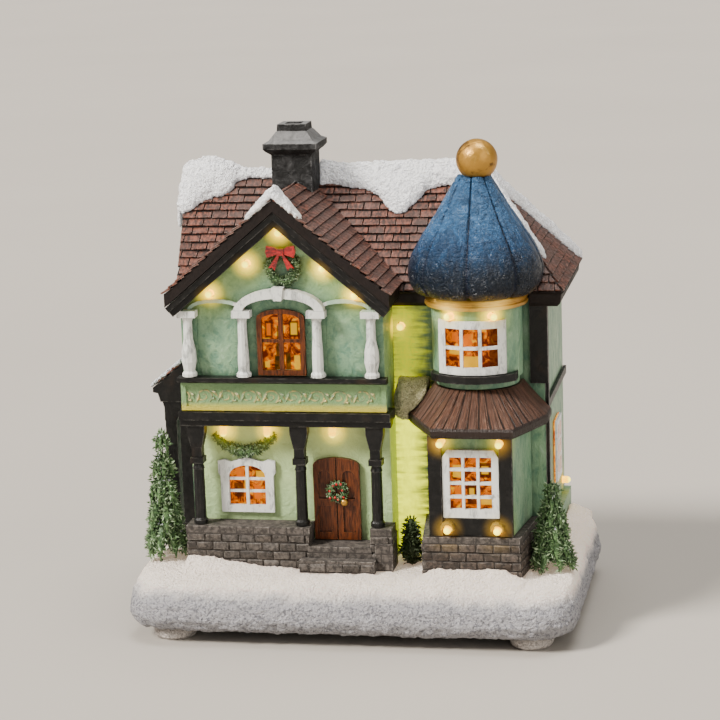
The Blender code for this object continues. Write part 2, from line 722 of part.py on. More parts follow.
def make_side_window():
    outer = [
        (SIDE_WINDOW_Y[0] - SIDE_FRAME_BORDER, SIDE_WINDOW_Z[0] - SIDE_FRAME_BORDER),
        (SIDE_WINDOW_Y[1] + SIDE_FRAME_BORDER, SIDE_WINDOW_Z[0] - SIDE_FRAME_BORDER),
        (SIDE_WINDOW_Y[1] + SIDE_FRAME_BORDER, SIDE_WINDOW_Z[1] + SIDE_FRAME_BORDER),
        (SIDE_WINDOW_Y[0] - SIDE_FRAME_BORDER, SIDE_WINDOW_Z[1] + SIDE_FRAME_BORDER),
    ]
    opening = (*SIDE_WINDOW_Y, *SIDE_WINDOW_Z)
    low = HOUSE_RIGHT + GAP
    frame = window_frame(outer, opening, 2, 3, 1.3, "X", low, low + SIDE_FRAME_THICK)
    # The lit film is bedded in the wall opening behind the bars
    film = block(
        (HOUSE_RIGHT - 1.2, low + 0.5),
        (SIDE_WINDOW_Y[0] + GAP, SIDE_WINDOW_Y[1] - GAP),
        (SIDE_WINDOW_Z[0] + GAP, SIDE_WINDOW_Z[1] - GAP),
    )
    return fused(frame, film)


place("side_window", make_side_window(), WHITE)

CORNER_POST_WIDTH = 5.6
CORNER_POST_OUT = 1.2
SIDE_BAND_LOW = 86.8
SIDE_BAND_HIGH = 90.0
post_top = extruded(
    [
        (HOUSE_RIGHT - CORNER_POST_WIDTH, HOUSE_FRONT - GAP),
        (HOUSE_RIGHT - CORNER_POST_WIDTH, HOUSE_FRONT - GAP - CORNER_POST_OUT),
        (HOUSE_RIGHT + GAP + CORNER_POST_OUT, HOUSE_FRONT - GAP - CORNER_POST_OUT),
        (HOUSE_RIGHT + GAP + CORNER_POST_OUT, HOUSE_FRONT + CORNER_POST_WIDTH * 0.5),
        (HOUSE_RIGHT + GAP, HOUSE_FRONT + CORNER_POST_WIDTH * 0.5),
        (HOUSE_RIGHT + GAP, HOUSE_FRONT - GAP),
    ],
    "Z", AWNING_TOP - 1.6, EAVE_LOW - GAP,
)
side_face = (HOUSE_RIGHT + GAP, HOUSE_RIGHT + GAP + CORNER_POST_OUT)
side_leg = block(side_face, (HOUSE_FRONT, HOUSE_FRONT + CORNER_POST_WIDTH * 0.5), (FOOTING_TOP, AWNING_TOP))
side_band = block(side_face, (HOUSE_FRONT, HOUSE_BACK), (SIDE_BAND_LOW, SIDE_BAND_HIGH))
place("corner_post", fused(post_top, side_leg, side_band), TIMBER)


# Main roof: courses of tiles step down from the ridge to a boxed eave
def make_main_roof():
    box_left = VERGE_LEFT + VERGE_LEAN
    rings = [
        [(box_left, EAVE_FRONT + inset, level), (EAVE_RIGHT - inset, EAVE_FRONT + inset, level),
         (EAVE_RIGHT - inset, EAVE_BACK - inset, level), (box_left, EAVE_BACK - inset, level)]
        for inset, level in ((1.6, EAVE_LOW), (0.4, EAVE_LOW + 1.4), (0.0, EAVE_LOW + EAVE_BOX))
    ]
    levels = evenly(EAVE_TILES, RIDGE_Z - 1.5, COURSES)
    for low, high in zip(levels, levels[1:]):
        rings.append(hip_ring(-COURSE_STEP, low, VERGE_LEFT - VERGE_STEP))
        rings.append(hip_ring(0.0, high, VERGE_LEFT))
    under = common(
        hip_shape(ROOF_THICK, EAVE_LOW - 20.0, VERGE_LEFT - 20.0),
        block((VERGE_LEFT - 20.0, HOUSE_RIGHT + GAP), (HOUSE_FRONT - GAP, HOUSE_BACK + GAP), (0.0, FAR)),
    )
    roof = cut(lofted(rings), under)
    dome_room = turned(dome_profile(GAP + 0.5), ROUND_STEPS, (TOWER_X, TOWER_Y))
    ring_room = turned(
        [(RING_RADIUS + GAP, EAVE_LOW - 5.0), (RING_RADIUS + GAP, DOME_LOW + 1.0)], 36, (TOWER_X, TOWER_Y)
    )
    return cut(roof, dome_room, ring_room)


place("main_roof", make_main_roof(), TILE)


# Gabled wing: an upper storey carried over the porch wall
def gable_outline(depth, half, low):
    """The gable's sloping outline, drawn in by a depth, down to a level."""
    top = WING_APEX - slant(WING_RISE, depth)
    side = top - half * WING_RISE
    return [
        (WING_X - half, low), (WING_X + half, low), (WING_X + half, side), (WING_X, top),
        (WING_X - half, side),
    ]


WING_ROOF_THICK = 3.5
WING_BACK = HOUSE_FRONT - GAP
WING_LEFT = WING_X - WING_HALF
WING_RIGHT = WING_X + WING_HALF
SOFFIT_HIGH = BEAM_HIGH + GAP + WALL
GABLE_BULBS = ((-26.5, 162.1), (-40.1, 149.7), (-9.3, 147.9), (-55.6, 137.6), (3.2, 137.1))
PORCH_BULBS = (-54.0, -35.8, -9.0)
PORCH_BULB_Y = WING_FRONT + WALL + BULB_RADIUS + 0.6
PORCH_BULB_OUT = 6.7


def make_wing():
    upper = extruded(
        gable_outline(WING_ROOF_THICK + GAP, WING_HALF, BEAM_HIGH + GAP), "Y", WING_FRONT, WING_BACK
    )
    lower = block((WING_LEFT, WING_RIGHT), (PORCH_WALL, WING_BACK), (GROUND, BEAM_HIGH + 1.0))
    wing = fused(upper, lower)
    room_high = gable_outline(WING_ROOF_THICK + GAP - PAST, WING_HALF - WALL, SOFFIT_HIGH)
    upper_room = extruded(room_high, "Y", WING_FRONT + WALL, WING_BACK + PAST)
    lower_room = block(
        (WING_LEFT + WALL, WING_RIGHT - WALL), (PORCH_WALL + WALL, WING_BACK + PAST),
        (GROUND - PAST, SOFFIT_HIGH + 1.0)
    )
    wing = cut(wing, upper_room, lower_room, roof_clearance())
    # The frieze: a raised border with a scroll between its edges
    frieze_front = WING_FRONT - 2.2
    frieze = block(
        (WING_LEFT - 0.8, WING_RIGHT + 0.8), (frieze_front, WING_FRONT + 1.0), (BEAM_HIGH + GAP, FRIEZE_TOP)
    )
    wing = fused(wing, frieze)
    panel = block(
        (WING_LEFT + 1.2, WING_RIGHT - 1.2), (frieze_front - PAST, frieze_front + 0.7),
        (BEAM_HIGH + GAP + 1.6, FRIEZE_TOP - 1.2),
    )
    wing = cut(wing, panel)
    # Shallow arched fields stand back between the balcony columns
    for left, right in zip(COLUMN_OFFSETS, COLUMN_OFFSETS[1:]):
        middle = WING_X + (left + right) / 2
        half = (right - left) / 2 - 3.0
        if left < 0 < right:
            continue
        field = extruded(
            arched(middle, half, LEDGE_TOP - 1.0, COLUMN_TOP - 1.0, 4.0), "Y", WING_FRONT - PAST,
            WING_FRONT + 0.8
        )
        wing = cut(wing, field)
    casement = extruded(
        arched(WING_X, CASEMENT_WIDTH / 2 - 1.2, CASEMENT_LOW + 1.4, CASEMENT_HIGH - 4.0, 2.8), "Y",
        WING_FRONT - PAST, WING_FRONT + WALL + PAST,
    )
    window = extruded(
        arched(PORCH_WINDOW_X, 8.6, PORCH_WINDOW_LOW + 2.0, PORCH_WINDOW_HIGH - 5.6, 4.0), "Y",
        PORCH_WALL - PAST, PORCH_WALL + WALL + PAST,
    )
    wing = cut(wing, casement, window)
    bulb_room = BULB_RADIUS + GAP
    for x, z in GABLE_BULBS:
        hole = turned_along(
            [(bulb_room, 0.0), (bulb_room, WALL + 2 * PAST)], 10, (x, WING_FRONT - PAST, z), (0, 1, 0)
        )
        wing = cut(wing, hole)
    for x in PORCH_BULBS:
        hole = turned_along([(bulb_room, 0.0), (bulb_room, WALL + 2 * PAST)], 10,
                            (x, PORCH_BULB_Y, BEAM_HIGH - PAST), (0, 0, 1))
        wing = cut(wing, hole)
    return wing


place("wing_walls", make_wing(), MINT)


# Wing roof: narrower courses that run back into the front of the main roof
def make_wing_roof():
    top = [(WING_X, WING_APEX)]
    for side in (1, -1):
        edge = []
        runs = evenly(0.6, WING_EAVE, WING_COURSES)
        for near, far in zip(runs, runs[1:]):
            edge.append((WING_X + side * near, WING_APEX - near * WING_RISE))
            edge.append((WING_X + side * far, WING_APEX - far * WING_RISE + COURSE_STEP))
        if side == 1:
            right = edge
        else:
            left = edge[::-1]
    drop = slant(WING_RISE, WING_ROOF_THICK)
    low_edge = WING_APEX - drop - WING_EAVE * WING_RISE
    under = [(WING_X + WING_EAVE, low_edge), (WING_X, WING_APEX - drop), (WING_X - WING_EAVE, low_edge)]
    outline = left + top + right + under
    roof = extruded(outline, "Y", WING_ROOF_FRONT, RIDGE_Y)
    return cut(roof, roof_clearance())


place("wing_roof", make_wing_roof(), TILE)


def gable_band(depth_from, depth_to, half, front, back):
    """A board that follows the gable's slopes, between two depths under the tiles."""
    upper = WING_APEX - slant(WING_RISE, depth_from)
    lower = WING_APEX - slant(WING_RISE, depth_to)
    half_low = half - (depth_to - depth_from) * WING_RISE / math.hypot(1.0, WING_RISE)
    outline = [
        (WING_X - half, upper - half * WING_RISE), (WING_X, upper), (WING_X + half, upper - half * WING_RISE),
        (WING_X + half_low, lower - half_low * WING_RISE), (WING_X, lower),
        (WING_X - half_low, lower - half_low * WING_RISE),
    ]
    return extruded(outline, "Y", front, back)


BOARD_TOP = WING_ROOF_THICK + GAP
BOARD_LOW = BOARD_TOP + 4.6
barge = gable_band(BOARD_TOP, BOARD_TOP + 2.2, WING_EAVE, WING_ROOF_FRONT + 0.6, WING_FRONT - GAP)
barge = fused(
    barge, gable_band(BOARD_TOP + 1.6, BOARD_LOW, WING_EAVE - 0.8, WING_ROOF_FRONT + 2.0, WING_FRONT - GAP)
)
place("gable_bargeboards", barge, TIMBER)


# Balcony: a black ledge over the frieze, white columns and the arch over the casement
ledge = extruded(
    [(WING_FRONT - GAP, FRIEZE_TOP + GAP), (TRIM_FRONT, FRIEZE_TOP + GAP),
    (TRIM_FRONT - 1.2, FRIEZE_TOP + 1.0),
     (TRIM_FRONT - 1.2, LEDGE_TOP), (WING_FRONT - GAP, LEDGE_TOP)],
    "X", WING_LEFT - 1.5, WING_RIGHT + 1.5,
)
place("balcony_ledge", ledge, TIMBER)

COLUMN_Y = -32.6
COLUMN_LOW = LEDGE_TOP + GAP
ARCH_BAND = 3.6


def make_arcade():
    shapes = []
    for number, offset in enumerate(COLUMN_OFFSETS):
        outer = number in (0, len(COLUMN_OFFSETS) - 1)
        belly = 2.9 if outer else 2.2
        shaft = [
            (3.0, 0.0), (3.0, 1.2), (2.2, 2.2), (belly + 0.1, 6.0), (belly, 10.0), (1.9, 15.0),
            (1.8, COLUMN_TOP - COLUMN_LOW - 4.4), (2.4, COLUMN_TOP - COLUMN_LOW - 1.6),
        ]
        centre_x = WING_X + offset
        column = turned([(radius, COLUMN_LOW + z) for radius, z in shaft], 10, (centre_x, COLUMN_Y))
        capital = block(
            (centre_x - 3.7, centre_x + 3.7), (COLUMN_Y - 2.7, COLUMN_Y + 2.2),
            (COLUMN_TOP - 2.4, COLUMN_TOP + 0.4)
        )
        shapes.append(fused(column, capital))
    arch_low = COLUMN_TOP - 0.8
    outer_half = COLUMN_OFFSETS[2] + 3.4
    band = extruded(
        arched(WING_X, outer_half, arch_low, arch_low + 0.8, ARCH_CROWN - arch_low - 0.8, 16), "Y",
        COLUMN_Y - 2.2, WING_FRONT - GAP,
    )
    hollow = extruded(
        arched(WING_X, outer_half - ARCH_BAND, arch_low - PAST, arch_low + 0.8,
        ARCH_CROWN - ARCH_BAND - arch_low - 0.8, 16),
        "Y", COLUMN_Y - 2.2 - PAST, WING_FRONT + PAST,
    )
    arch = cut(band, hollow)
    keystone = extruded(
        [(WING_X - 1.6, ARCH_CROWN - 4.4), (WING_X + 1.6, ARCH_CROWN - 4.4),
         (WING_X + 2.4, ARCH_CROWN + 0.8), (WING_X - 2.4, ARCH_CROWN + 0.8)],
        "Y", COLUMN_Y - 3.0, WING_FRONT - GAP,
    )
    # Half arches die into the wall between the inner and the outer columns
    arcade = fused(arch, keystone)
    for inner, outer in ((COLUMN_OFFSETS[1], COLUMN_OFFSETS[0]), (COLUMN_OFFSETS[2], COLUMN_OFFSETS[3])):
        middle = WING_X + (inner + outer) / 2
        half = abs(outer - inner) / 2 + 0.4
        side_band = extruded(
            arched(middle, half, arch_low, arch_low + 0.8, 4.6), "Y", WING_FRONT - 1.6, WING_FRONT - GAP
        )
        side_hollow = extruded(
            arched(middle, half - 1.5, arch_low - PAST, arch_low + 0.8, 3.1), "Y", WING_FRONT - 4.0,
            WING_FRONT + PAST
        )
        arcade = fused(arcade, cut(side_band, side_hollow))
    arcade = fused(arcade, *shapes)
    behind = block((WING_LEFT - 20.0, WING_RIGHT + 20.0), (WING_FRONT - GAP, 0.0), (LEDGE_TOP - 5.0, FAR))
    boards = gable_band(BOARD_TOP - PAST, BOARD_LOW + GAP, WING_EAVE + PAST, WING_ROOF_FRONT - PAST, 0.0)
    return cut(arcade, behind, boards)


place("balcony_arcade", make_arcade(), WHITE, sharp=40.0)


def make_casement():
    half = CASEMENT_WIDTH / 2
    low = CASEMENT_LOW
    spring = CASEMENT_HIGH - 3.6
    frame = extruded(arched(WING_X, half, low, spring, 3.6), "Y", WING_FRONT - 1.9, WING_FRONT - GAP)
    hollow = extruded(
        arched(WING_X, half - 2.0, low + 2.0, spring - 0.6, 2.4), "Y", WING_FRONT - 1.9 - PAST,
        WING_FRONT + PAST
    )
    frame = cut(frame, hollow)
    mullion = block(
        (WING_X - 0.9, WING_X + 0.9), (WING_FRONT - 1.6, WING_FRONT - GAP), (low + 1.0, CASEMENT_HIGH - 1.0)
    )
    transom_z = low + (CASEMENT_HIGH - low) * 0.52
    transom = block(
        (WING_X - half + 1.0, WING_X + half - 1.0), (WING_FRONT - 1.4, WING_FRONT - GAP),
        (transom_z - 0.7, transom_z + 0.7)
    )
    return fused(frame, mullion, transom)


place("gable_casement", make_casement(), DOOR_WOOD)
FILM_THICK = 0.6
film = extruded(
    arched(WING_X, CASEMENT_WIDTH / 2, CASEMENT_LOW + 0.4, CASEMENT_HIGH - 4.0, 3.4), "Y",
    WING_FRONT + WALL + GAP, WING_FRONT + WALL + GAP + FILM_THICK,
)
place("gable_window_film", film, FILM)


# Ring of foliage: a lumpy ring with its flat side to the wall
def foliage_ring(centre_x, centre_z, ring_radius, band, wall_y, depth, steps=20, lumps=7):
    shape = bmesh.new()
    rings = []
    for k in range(steps):
        angle = 2 * math.pi * k / steps
        swell = 1.0 + 0.16 * math.sin(angle * lumps) + 0.08 * math.cos(angle * (2 * lumps + 1))
        ring = []
        for across, out in ((-1.0, 0.0), (-0.75, 0.62), (0.0, 1.0), (0.75, 0.62), (1.0, 0.0)):
            radius = ring_radius + across * band * swell
            ring.append(shape.verts.new((
                centre_x + radius * math.sin(angle), wall_y - out * depth * swell,
                centre_z + radius * math.cos(angle),
            )))
        rings.append(ring)
    for k, ring in enumerate(rings):
        after = rings[(k + 1) % steps]
        for j in range(len(ring)):
            follow = (j + 1) % len(ring)
            shape.faces.new((ring[j], ring[follow], after[follow], after[j]))
    bmesh.ops.recalc_face_normals(shape, faces=shape.faces)
    return shape


WREATH_X = -25.2
WREATH_Z = 148.1
place("gable_wreath", foliage_ring(WREATH_X, WREATH_Z, 5.4, 1.5, WING_FRONT - GAP, 2.2), GREEN)


def make_bow():
    """Two loops, a knot and two tails, tied over the top of the wreath."""
    y_back = WING_FRONT - GAP - 2.6 - GAP
    y_front = y_back - 1.8
    top_z = WREATH_Z + 7.0
    knot = block((WREATH_X - 1.3, WREATH_X + 1.3), (y_front - 0.5, y_back), (top_z - 1.4, top_z + 1.2))
    for side in (-1, 1):
        loop = extruded(
            [(WREATH_X + side * 0.6, top_z - 0.7), (WREATH_X + side * 5.4, top_z - 2.3),
             (WREATH_X + side * 6.0, top_z - 0.2), (WREATH_X + side * 5.6, top_z + 2.3),
             (WREATH_X + side * 2.6, top_z + 1.9), (WREATH_X + side * 0.6, top_z + 0.7)],
            "Y", y_front, y_back,
        )
        tail = extruded(
            [(WREATH_X + side * 0.2, top_z - 0.6), (WREATH_X + side * 1.2, top_z - 1.0),
             (WREATH_X + side * 5.2, top_z - 6.6), (WREATH_X + side * 3.6, top_z - 6.2),
             (WREATH_X + side * 2.6, top_z - 7.4)],
            "Y", y_front + 0.4, y_back,
        )
        knot = fused(knot, loop, tail)
    return knot


place("gable_bow", make_bow(), RED)


# Porch: the black beam, its turned posts, the stone footing and the steps
def make_beam():
    beam = extruded(
        [(TRIM_FRONT, BEAM_LOW + 2.6), (TRIM_FRONT, BEAM_HIGH), (WING_FRONT + 0.0, BEAM_HIGH),
         (PORCH_WALL - GAP, BEAM_HIGH), (PORCH_WALL - GAP, BEAM_LOW + 1.4), (TRIM_FRONT + 1.4, BEAM_LOW),
         (TRIM_FRONT + 1.4, BEAM_LOW + 2.6)][::-1],
        "X", WING_LEFT - 1.8, WING_RIGHT + 2.4,
    )
    soffit_room = block(
        (WING_LEFT - 10.0, WING_RIGHT + 10.0), (WING_FRONT + 2.6, 0.0), (BEAM_LOW - PAST, BEAM_LOW + 2.2)
    )
    beam = cut(beam, soffit_room)
    for x in PORCH_BULBS:
        hole = turned_along(
            [(BULB_RADIUS + GAP, 0.0), (BULB_RADIUS + GAP, BEAM_HIGH - BEAM_LOW + 2 * PAST)], 10,
            (x, PORCH_BULB_Y, BEAM_LOW - PAST), (0, 0, 1)
        )
        beam = cut(beam, hole)
    return beam


place("porch_beam", make_beam(), TIMBER)

POST_Y = -29.4
POST_TOP = BEAM_LOW - GAP
for post_name, post_x in zip(("left", "middle", "right"), PORCH_POSTS):
    height = POST_TOP - POST_LOW
    turned_post = turned(
        [(2.9, POST_LOW), (2.9, POST_LOW + 1.6), (2.3, POST_LOW + 2.4), (2.2, POST_LOW + height * 0.55),
         (2.5, POST_LOW + height * 0.56), (2.0, POST_LOW + height * 0.6), (2.0, POST_LOW + height * 0.68)],
        12, (post_x, POST_Y),
    )
    square = block((post_x - 2.7, post_x + 2.7), (POST_Y - 2.7, POST_Y + 2.7),
                   (POST_LOW + height * 0.62, POST_LOW + height * 0.68))
    head = block(
        (post_x - 2.1, post_x + 2.1), (POST_Y - 2.1, POST_Y + 2.1), (POST_LOW + height * 0.67, POST_TOP)
    )
    capital = extruded(
        [(post_x - 2.2, POST_TOP - 9.0), (post_x + 2.2, POST_TOP - 9.0), (post_x + 3.6, POST_TOP - 3.0),
         (post_x + 3.6, POST_TOP), (post_x - 3.6, POST_TOP), (post_x - 3.6, POST_TOP - 3.0)],
        "Y", POST_Y - 2.2, POST_Y + 2.2,
    )
    place(f"porch_column_{post_name}", fused(turned_post, square, head, capital), TIMBER)

STONE_TOP = POST_LOW - GAP
STONE_LEFT = WING_LEFT - 0.6
STEP_GO = 4.6


def make_stonework():
    back = PORCH_WALL - GAP
    stone = block((STONE_LEFT, STEP_LEFT), (STONE_FRONT, back), (GROUND, STONE_TOP))
    cap = block((STONE_LEFT - 0.5, STEP_LEFT + 0.4), (STONE_FRONT - 0.5, back), (STONE_TOP - 3.2, STONE_TOP))
    stub = block((STEP_RIGHT, WING_RIGHT + 1.4), (STONE_FRONT, back), (GROUND, STONE_TOP))
    low_stub = block(
        (STEP_RIGHT + 2.0, WING_RIGHT + 1.8), (STONE_FRONT - 1.0, back), (GROUND, STONE_TOP - 6.0)
    )
    tread = DOOR_LOW - 1.6 * GAP
    upper_step = block((STEP_LEFT - 0.5, STEP_RIGHT + 0.5), (STONE_FRONT - 0.6, back), (GROUND, tread))
    lower_step = block(
        (STEP_LEFT - 3.2, STEP_RIGHT + 2.4), (STONE_FRONT - 0.6 - STEP_GO, back),
        (GROUND, GROUND + (tread - GROUND) * 0.52)
    )
    return fused(stone, cap, stub, low_stub, upper_step, lower_step)


place("porch_stonework", make_stonework(), STONE)


# Double door with sunk panels, a wreath and a knob
def make_door():
    half = DOOR_WIDTH / 2
    face = PORCH_WALL - GAP - 1.8
    spring = DOOR_HIGH - 3.0
    door = extruded(arched(DOOR_X, half, DOOR_LOW, spring, 3.0), "Y", face, PORCH_WALL - GAP)
    seam = block((DOOR_X - 0.3, DOOR_X + 0.3), (face - PAST, face + 0.6), (DOOR_LOW - PAST, DOOR_HIGH + PAST))
    door = cut(door, seam)
    for side in (-1, 1):
        middle = DOOR_X + side * half * 0.52
        low_panel = block(
            (middle - 2.5, middle + 2.5), (face - PAST, face + 0.7), (DOOR_LOW + 3.0, DOOR_LOW + 14.0)
        )
        high_panel = extruded(
            arched(middle, 2.5, DOOR_LOW + 17.0, spring - 4.4, 2.2, 6), "Y", face - PAST, face + 0.7
        )
        door = cut(door, low_panel, high_panel)
    wreath = foliage_ring(DOOR_X + 0.4, DOOR_LOW + 20.4, 3.0, 0.9, face + 0.3, 1.4, 14, 5)
    knob_x = DOOR_X + 3.4
    knob = turned_along([(0.5, 0.0), (0.6, 1.4), (1.2, 1.9), (1.2, 2.7), (0.6, 3.2)], 10,
                        (knob_x, face + 0.8, DOOR_LOW + 16.0), (0, -1, 0))
    return fused(door, wreath, knob)


place("front_door", make_door(), DOOR_WOOD)


# Porch window: an eared white frame with an arched light, its film and the garland above it
def make_porch_window():
    x = PORCH_WINDOW_X
    half = PORCH_WINDOW_WIDTH / 2
    low = PORCH_WINDOW_LOW
    high = PORCH_WINDOW_HIGH
    outer = [
        (x - half, low), (x + half, low), (x + half, high - 7.0), (x + half + 0.9, high - 5.6),
        (x + half + 0.9, high - 0.6), (x + half - 2.0, high), (x + half - 4.4, high - 1.0),
        (x, high + 1.0), (x - half + 4.4, high - 1.0), (x - half + 2.0, high),
        (x - half - 0.9, high - 0.6), (x - half - 0.9, high - 5.6), (x - half, high - 7.0),
    ]
    frame = extruded(outer, "Y", PORCH_WALL - GAP - 1.6, PORCH_WALL - GAP)
    light_half = 7.6
    hollow = extruded(
        arched(x, light_half, low + 3.0, high - 7.0, 4.6), "Y", PORCH_WALL - 6.0, PORCH_WALL + PAST
    )
    frame = cut(frame, hollow)
    bars = [block((x - 0.6, x + 0.6), (PORCH_WALL - GAP - 1.3, PORCH_WALL - GAP), (low + 1.0, high - 1.0))]
    for share in (0.36, 0.68):
        level = low + 3.0 + (high - low - 6.0) * share
        bars.append(block(
            (x - light_half - 1.0, x + light_half + 1.0), (PORCH_WALL - GAP - 1.1, PORCH_WALL - GAP),
            (level - 0.5, level + 0.5)
        ))
    return fused(frame, *bars)


place("porch_window_frame", make_porch_window(), WHITE)
film = extruded(
    arched(PORCH_WINDOW_X, 10.0, PORCH_WINDOW_LOW + 0.8, PORCH_WINDOW_HIGH - 5.4, 4.8), "Y",
    PORCH_WALL + WALL + GAP, PORCH_WALL + WALL + GAP + FILM_THICK,
)
place("porch_window_film", film, FILM)


def make_garland():
    """A swag of foliage: sections swell and shrink along a hanging curve."""
    rings = []
    steps = 22
    for k in range(steps + 1):
        t = 2.0 * k / steps - 1.0
        swell = (1.0 + 0.25 * math.sin(k * 2.1)) * (0.55 + 0.45 * (1.0 - t * t))
        middle_x = PORCH_WINDOW_X - 0.6 + t * 12.6
        middle_z = GARLAND_LOW + 6.2 * t * t
        ring = []
        for out, up in ((0.0, -1.0), (0.8, -0.8), (1.2, 0.0), (0.8, 0.8), (0.0, 1.0)):
            ring.append((middle_x, PORCH_WALL - GAP - out * 2.2 * swell, middle_z + up * 2.0 * swell))
        rings.append(ring)
    return lofted(rings)


GARLAND_LOW = PORCH_WINDOW_HIGH + 3.4
place("window_garland", make_garland(), GREEN)


# Left side porch: a black lean-to on two posts
SIDE_OUT = -88.0
SIDE_HIGH = 106.0
SIDE_DROP = 12.5
SIDE_FRONT = -6.0
SIDE_BACK = 22.0
SIDE_POST_X = -81.0


def make_side_porch():
    wall_x = HOUSE_LEFT - GAP
    outline = [
        (wall_x, SIDE_HIGH), (wall_x, SIDE_HIGH - SIDE_DROP - 6.0),
        (SIDE_OUT + 3.0, SIDE_HIGH - SIDE_DROP - 6.0),
        (SIDE_OUT + 2.0, SIDE_HIGH - SIDE_DROP - 2.4), (SIDE_OUT, SIDE_HIGH - SIDE_DROP - 2.0),
        (SIDE_OUT, SIDE_HIGH - SIDE_DROP),
    ]
    for course in range(1, 4):
        x = SIDE_OUT + (wall_x - SIDE_OUT) * course / 4
        z = SIDE_HIGH - SIDE_DROP + SIDE_DROP * course / 4
        outline += [(x, z - 0.6), (x, z + 0.3)]
    porch = extruded(outline, "Y", SIDE_FRONT, SIDE_BACK)
    box_low = SIDE_HIGH - SIDE_DROP - 5.0
    for post_y in (SIDE_FRONT + 3.0, SIDE_BACK - 3.0):
        bracket = extruded(
            [(SIDE_OUT + 3.4, box_low), (SIDE_OUT + 4.4, box_low - 3.6), (SIDE_POST_X - 2.6, box_low - 7.0),
             (SIDE_POST_X - 2.6, box_low - 9.0), (SIDE_POST_X + 2.6, box_low - 9.0),
             (SIDE_POST_X + 6.0, box_low)],
            "Y", post_y - 2.4, post_y + 2.4,
        )
        post = block((SIDE_POST_X - 2.4, SIDE_POST_X + 2.4), (post_y - 2.4, post_y + 2.4), (GROUND, box_low))
        foot = block(
            (SIDE_POST_X - 3.0, SIDE_POST_X + 3.0), (post_y - 3.0, post_y + 3.0), (GROUND, GROUND + 4.0)
        )
        porch = fused(porch, bracket, post, foot)
    return porch


place("side_porch", make_side_porch(), TIMBER)


# Tower: a splayed bay at the foot, a plank awning and a round drum
BAY_BACK = HOUSE_FRONT - GAP
BAY_BULB_Z = 80.2
BASE_BULB_Z = 45.3
BAY_BULBS = (37.2, 60.4)
BASE_BULBS = (39.4, 59.2)
DRUM_BULB_Z = UPPER_FRAME[3] + 1.6
DRUM_BULB_ANGLES = (-27.0, 27.0)


def bay_outline(inset, front, back):
    return [
        (BAY_LEFT + inset, front), (BAY_RIGHT - inset, front),
        (BAY_RIGHT + BAY_SPLAY - inset, back), (BAY_LEFT - BAY_SPLAY + inset, back),
    ]


def make_bay():
    bay = extruded(bay_outline(0.0, BAY_FRONT, BAY_BACK), "Z", PLINTH_TOP + GAP, BAY_TOP)
    room = extruded(
        bay_outline(WALL, BAY_FRONT + WALL, BAY_BACK + PAST), "Z", PLINTH_TOP - PAST, BAY_TOP + PAST
    )
    left, right, low, high = LOWER_OPENING
    light = block(
        (left - 0.8, right + 0.8), (BAY_FRONT - PAST, BAY_FRONT + WALL + PAST), (low - 0.8, high + 0.8)
    )
    bay = cut(bay, room, light)
    for x, z in [(x, BAY_BULB_Z) for x in BAY_BULBS] + [(x, BASE_BULB_Z) for x in BASE_BULBS]:
        hole = turned_along(
            [(BULB_RADIUS + GAP, 0.0), (BULB_RADIUS + GAP, WALL + 2 * PAST)], 10, (x, BAY_FRONT - PAST, z),
            (0, 1, 0)
        )
        bay = cut(bay, hole)
    return bay


place("bay_walls", make_bay(), MINT)


def plinth_shape(extra, low, high):
    """The outside of the tower's plinth, grown by an extra amount."""
    grow = 2.6 + extra
    front = BAY_FRONT - PLINTH_OUT - extra
    outline = [
        (BAY_LEFT - grow, front), (BAY_RIGHT + grow, front),
        (BAY_RIGHT + BAY_SPLAY + grow, BAY_BACK), (BAY_LEFT - BAY_SPLAY - grow, BAY_BACK),
    ]
    return extruded(outline, "Z", low, high)


def make_tower_plinth():
    plinth = plinth_shape(0.0, GROUND, PLINTH_TOP)
    room = extruded(
        bay_outline(WALL, BAY_FRONT + WALL, BAY_BACK + PAST), "Z", GROUND - PAST, PLINTH_TOP + PAST
    )
    return cut(plinth, room)


place("tower_plinth", make_tower_plinth(), STONE)


def make_bay_timbers():
    """Two posts and the low panel between them, with a small hood over each lower bulb."""
    back = BAY_FRONT - GAP
    front = back - 2.4
    low = PLINTH_TOP + GAP
    left, right, frame_low, _ = LOWER_FRAME
    left_post = block((BAY_LEFT, left - GAP), (front, back), (low, BAY_TOP))
    right_post = block((right + GAP, BAY_RIGHT), (front, back), (low, BAY_TOP))
    panel = block((BAY_LEFT, BAY_RIGHT), (front + 0.8, back), (low, frame_low - GAP))
    timbers = fused(left_post, right_post, panel)
    for x in BASE_BULBS:
        hood = turned_along(
            [(BULB_RADIUS + 1.5, 0.0), (BULB_RADIUS + 1.5, 2.6), (BULB_RADIUS + 1.0, 4.0)], 12,
            (x, back - 0.4, BASE_BULB_Z + 0.6), (0, -1, 0),
        )
        hood_room = turned_along(
            [(BULB_RADIUS + GAP + 0.3, 0.0), (BULB_RADIUS + GAP + 0.3, 8.0)], 12,
            (x, back + 1.0, BASE_BULB_Z), (0, -1, 0),
        )
        below = block((x - 5.0, x + 5.0), (front - 6.0, front + 0.4), (low - PAST, BASE_BULB_Z))
        timbers = cut(fused(timbers, cut(hood, below)), hood_room)
    for x in BAY_BULBS:
        upper_room = turned_along(
            [(BULB_RADIUS + GAP, 0.0), (BULB_RADIUS + GAP, 8.0)], 12, (x, back + 1.0, BAY_BULB_Z), (0, -1, 0)
        )
        timbers = cut(timbers, upper_room)
    return timbers


place("bay_timbers", make_bay_timbers(), TIMBER)


def make_lower_frame():
    left, right, low, high = LOWER_FRAME
    outer = [
        (left, low), (right, low), (right, high - 3.0), (right - 2.0, high), (left + 2.0, high),
        (left, high - 3.0)
    ]
    frame = window_frame(outer, LOWER_OPENING, 3, 4, 1.1, "Y", BAY_FRONT - GAP - 1.8, BAY_FRONT - GAP)
    return frame


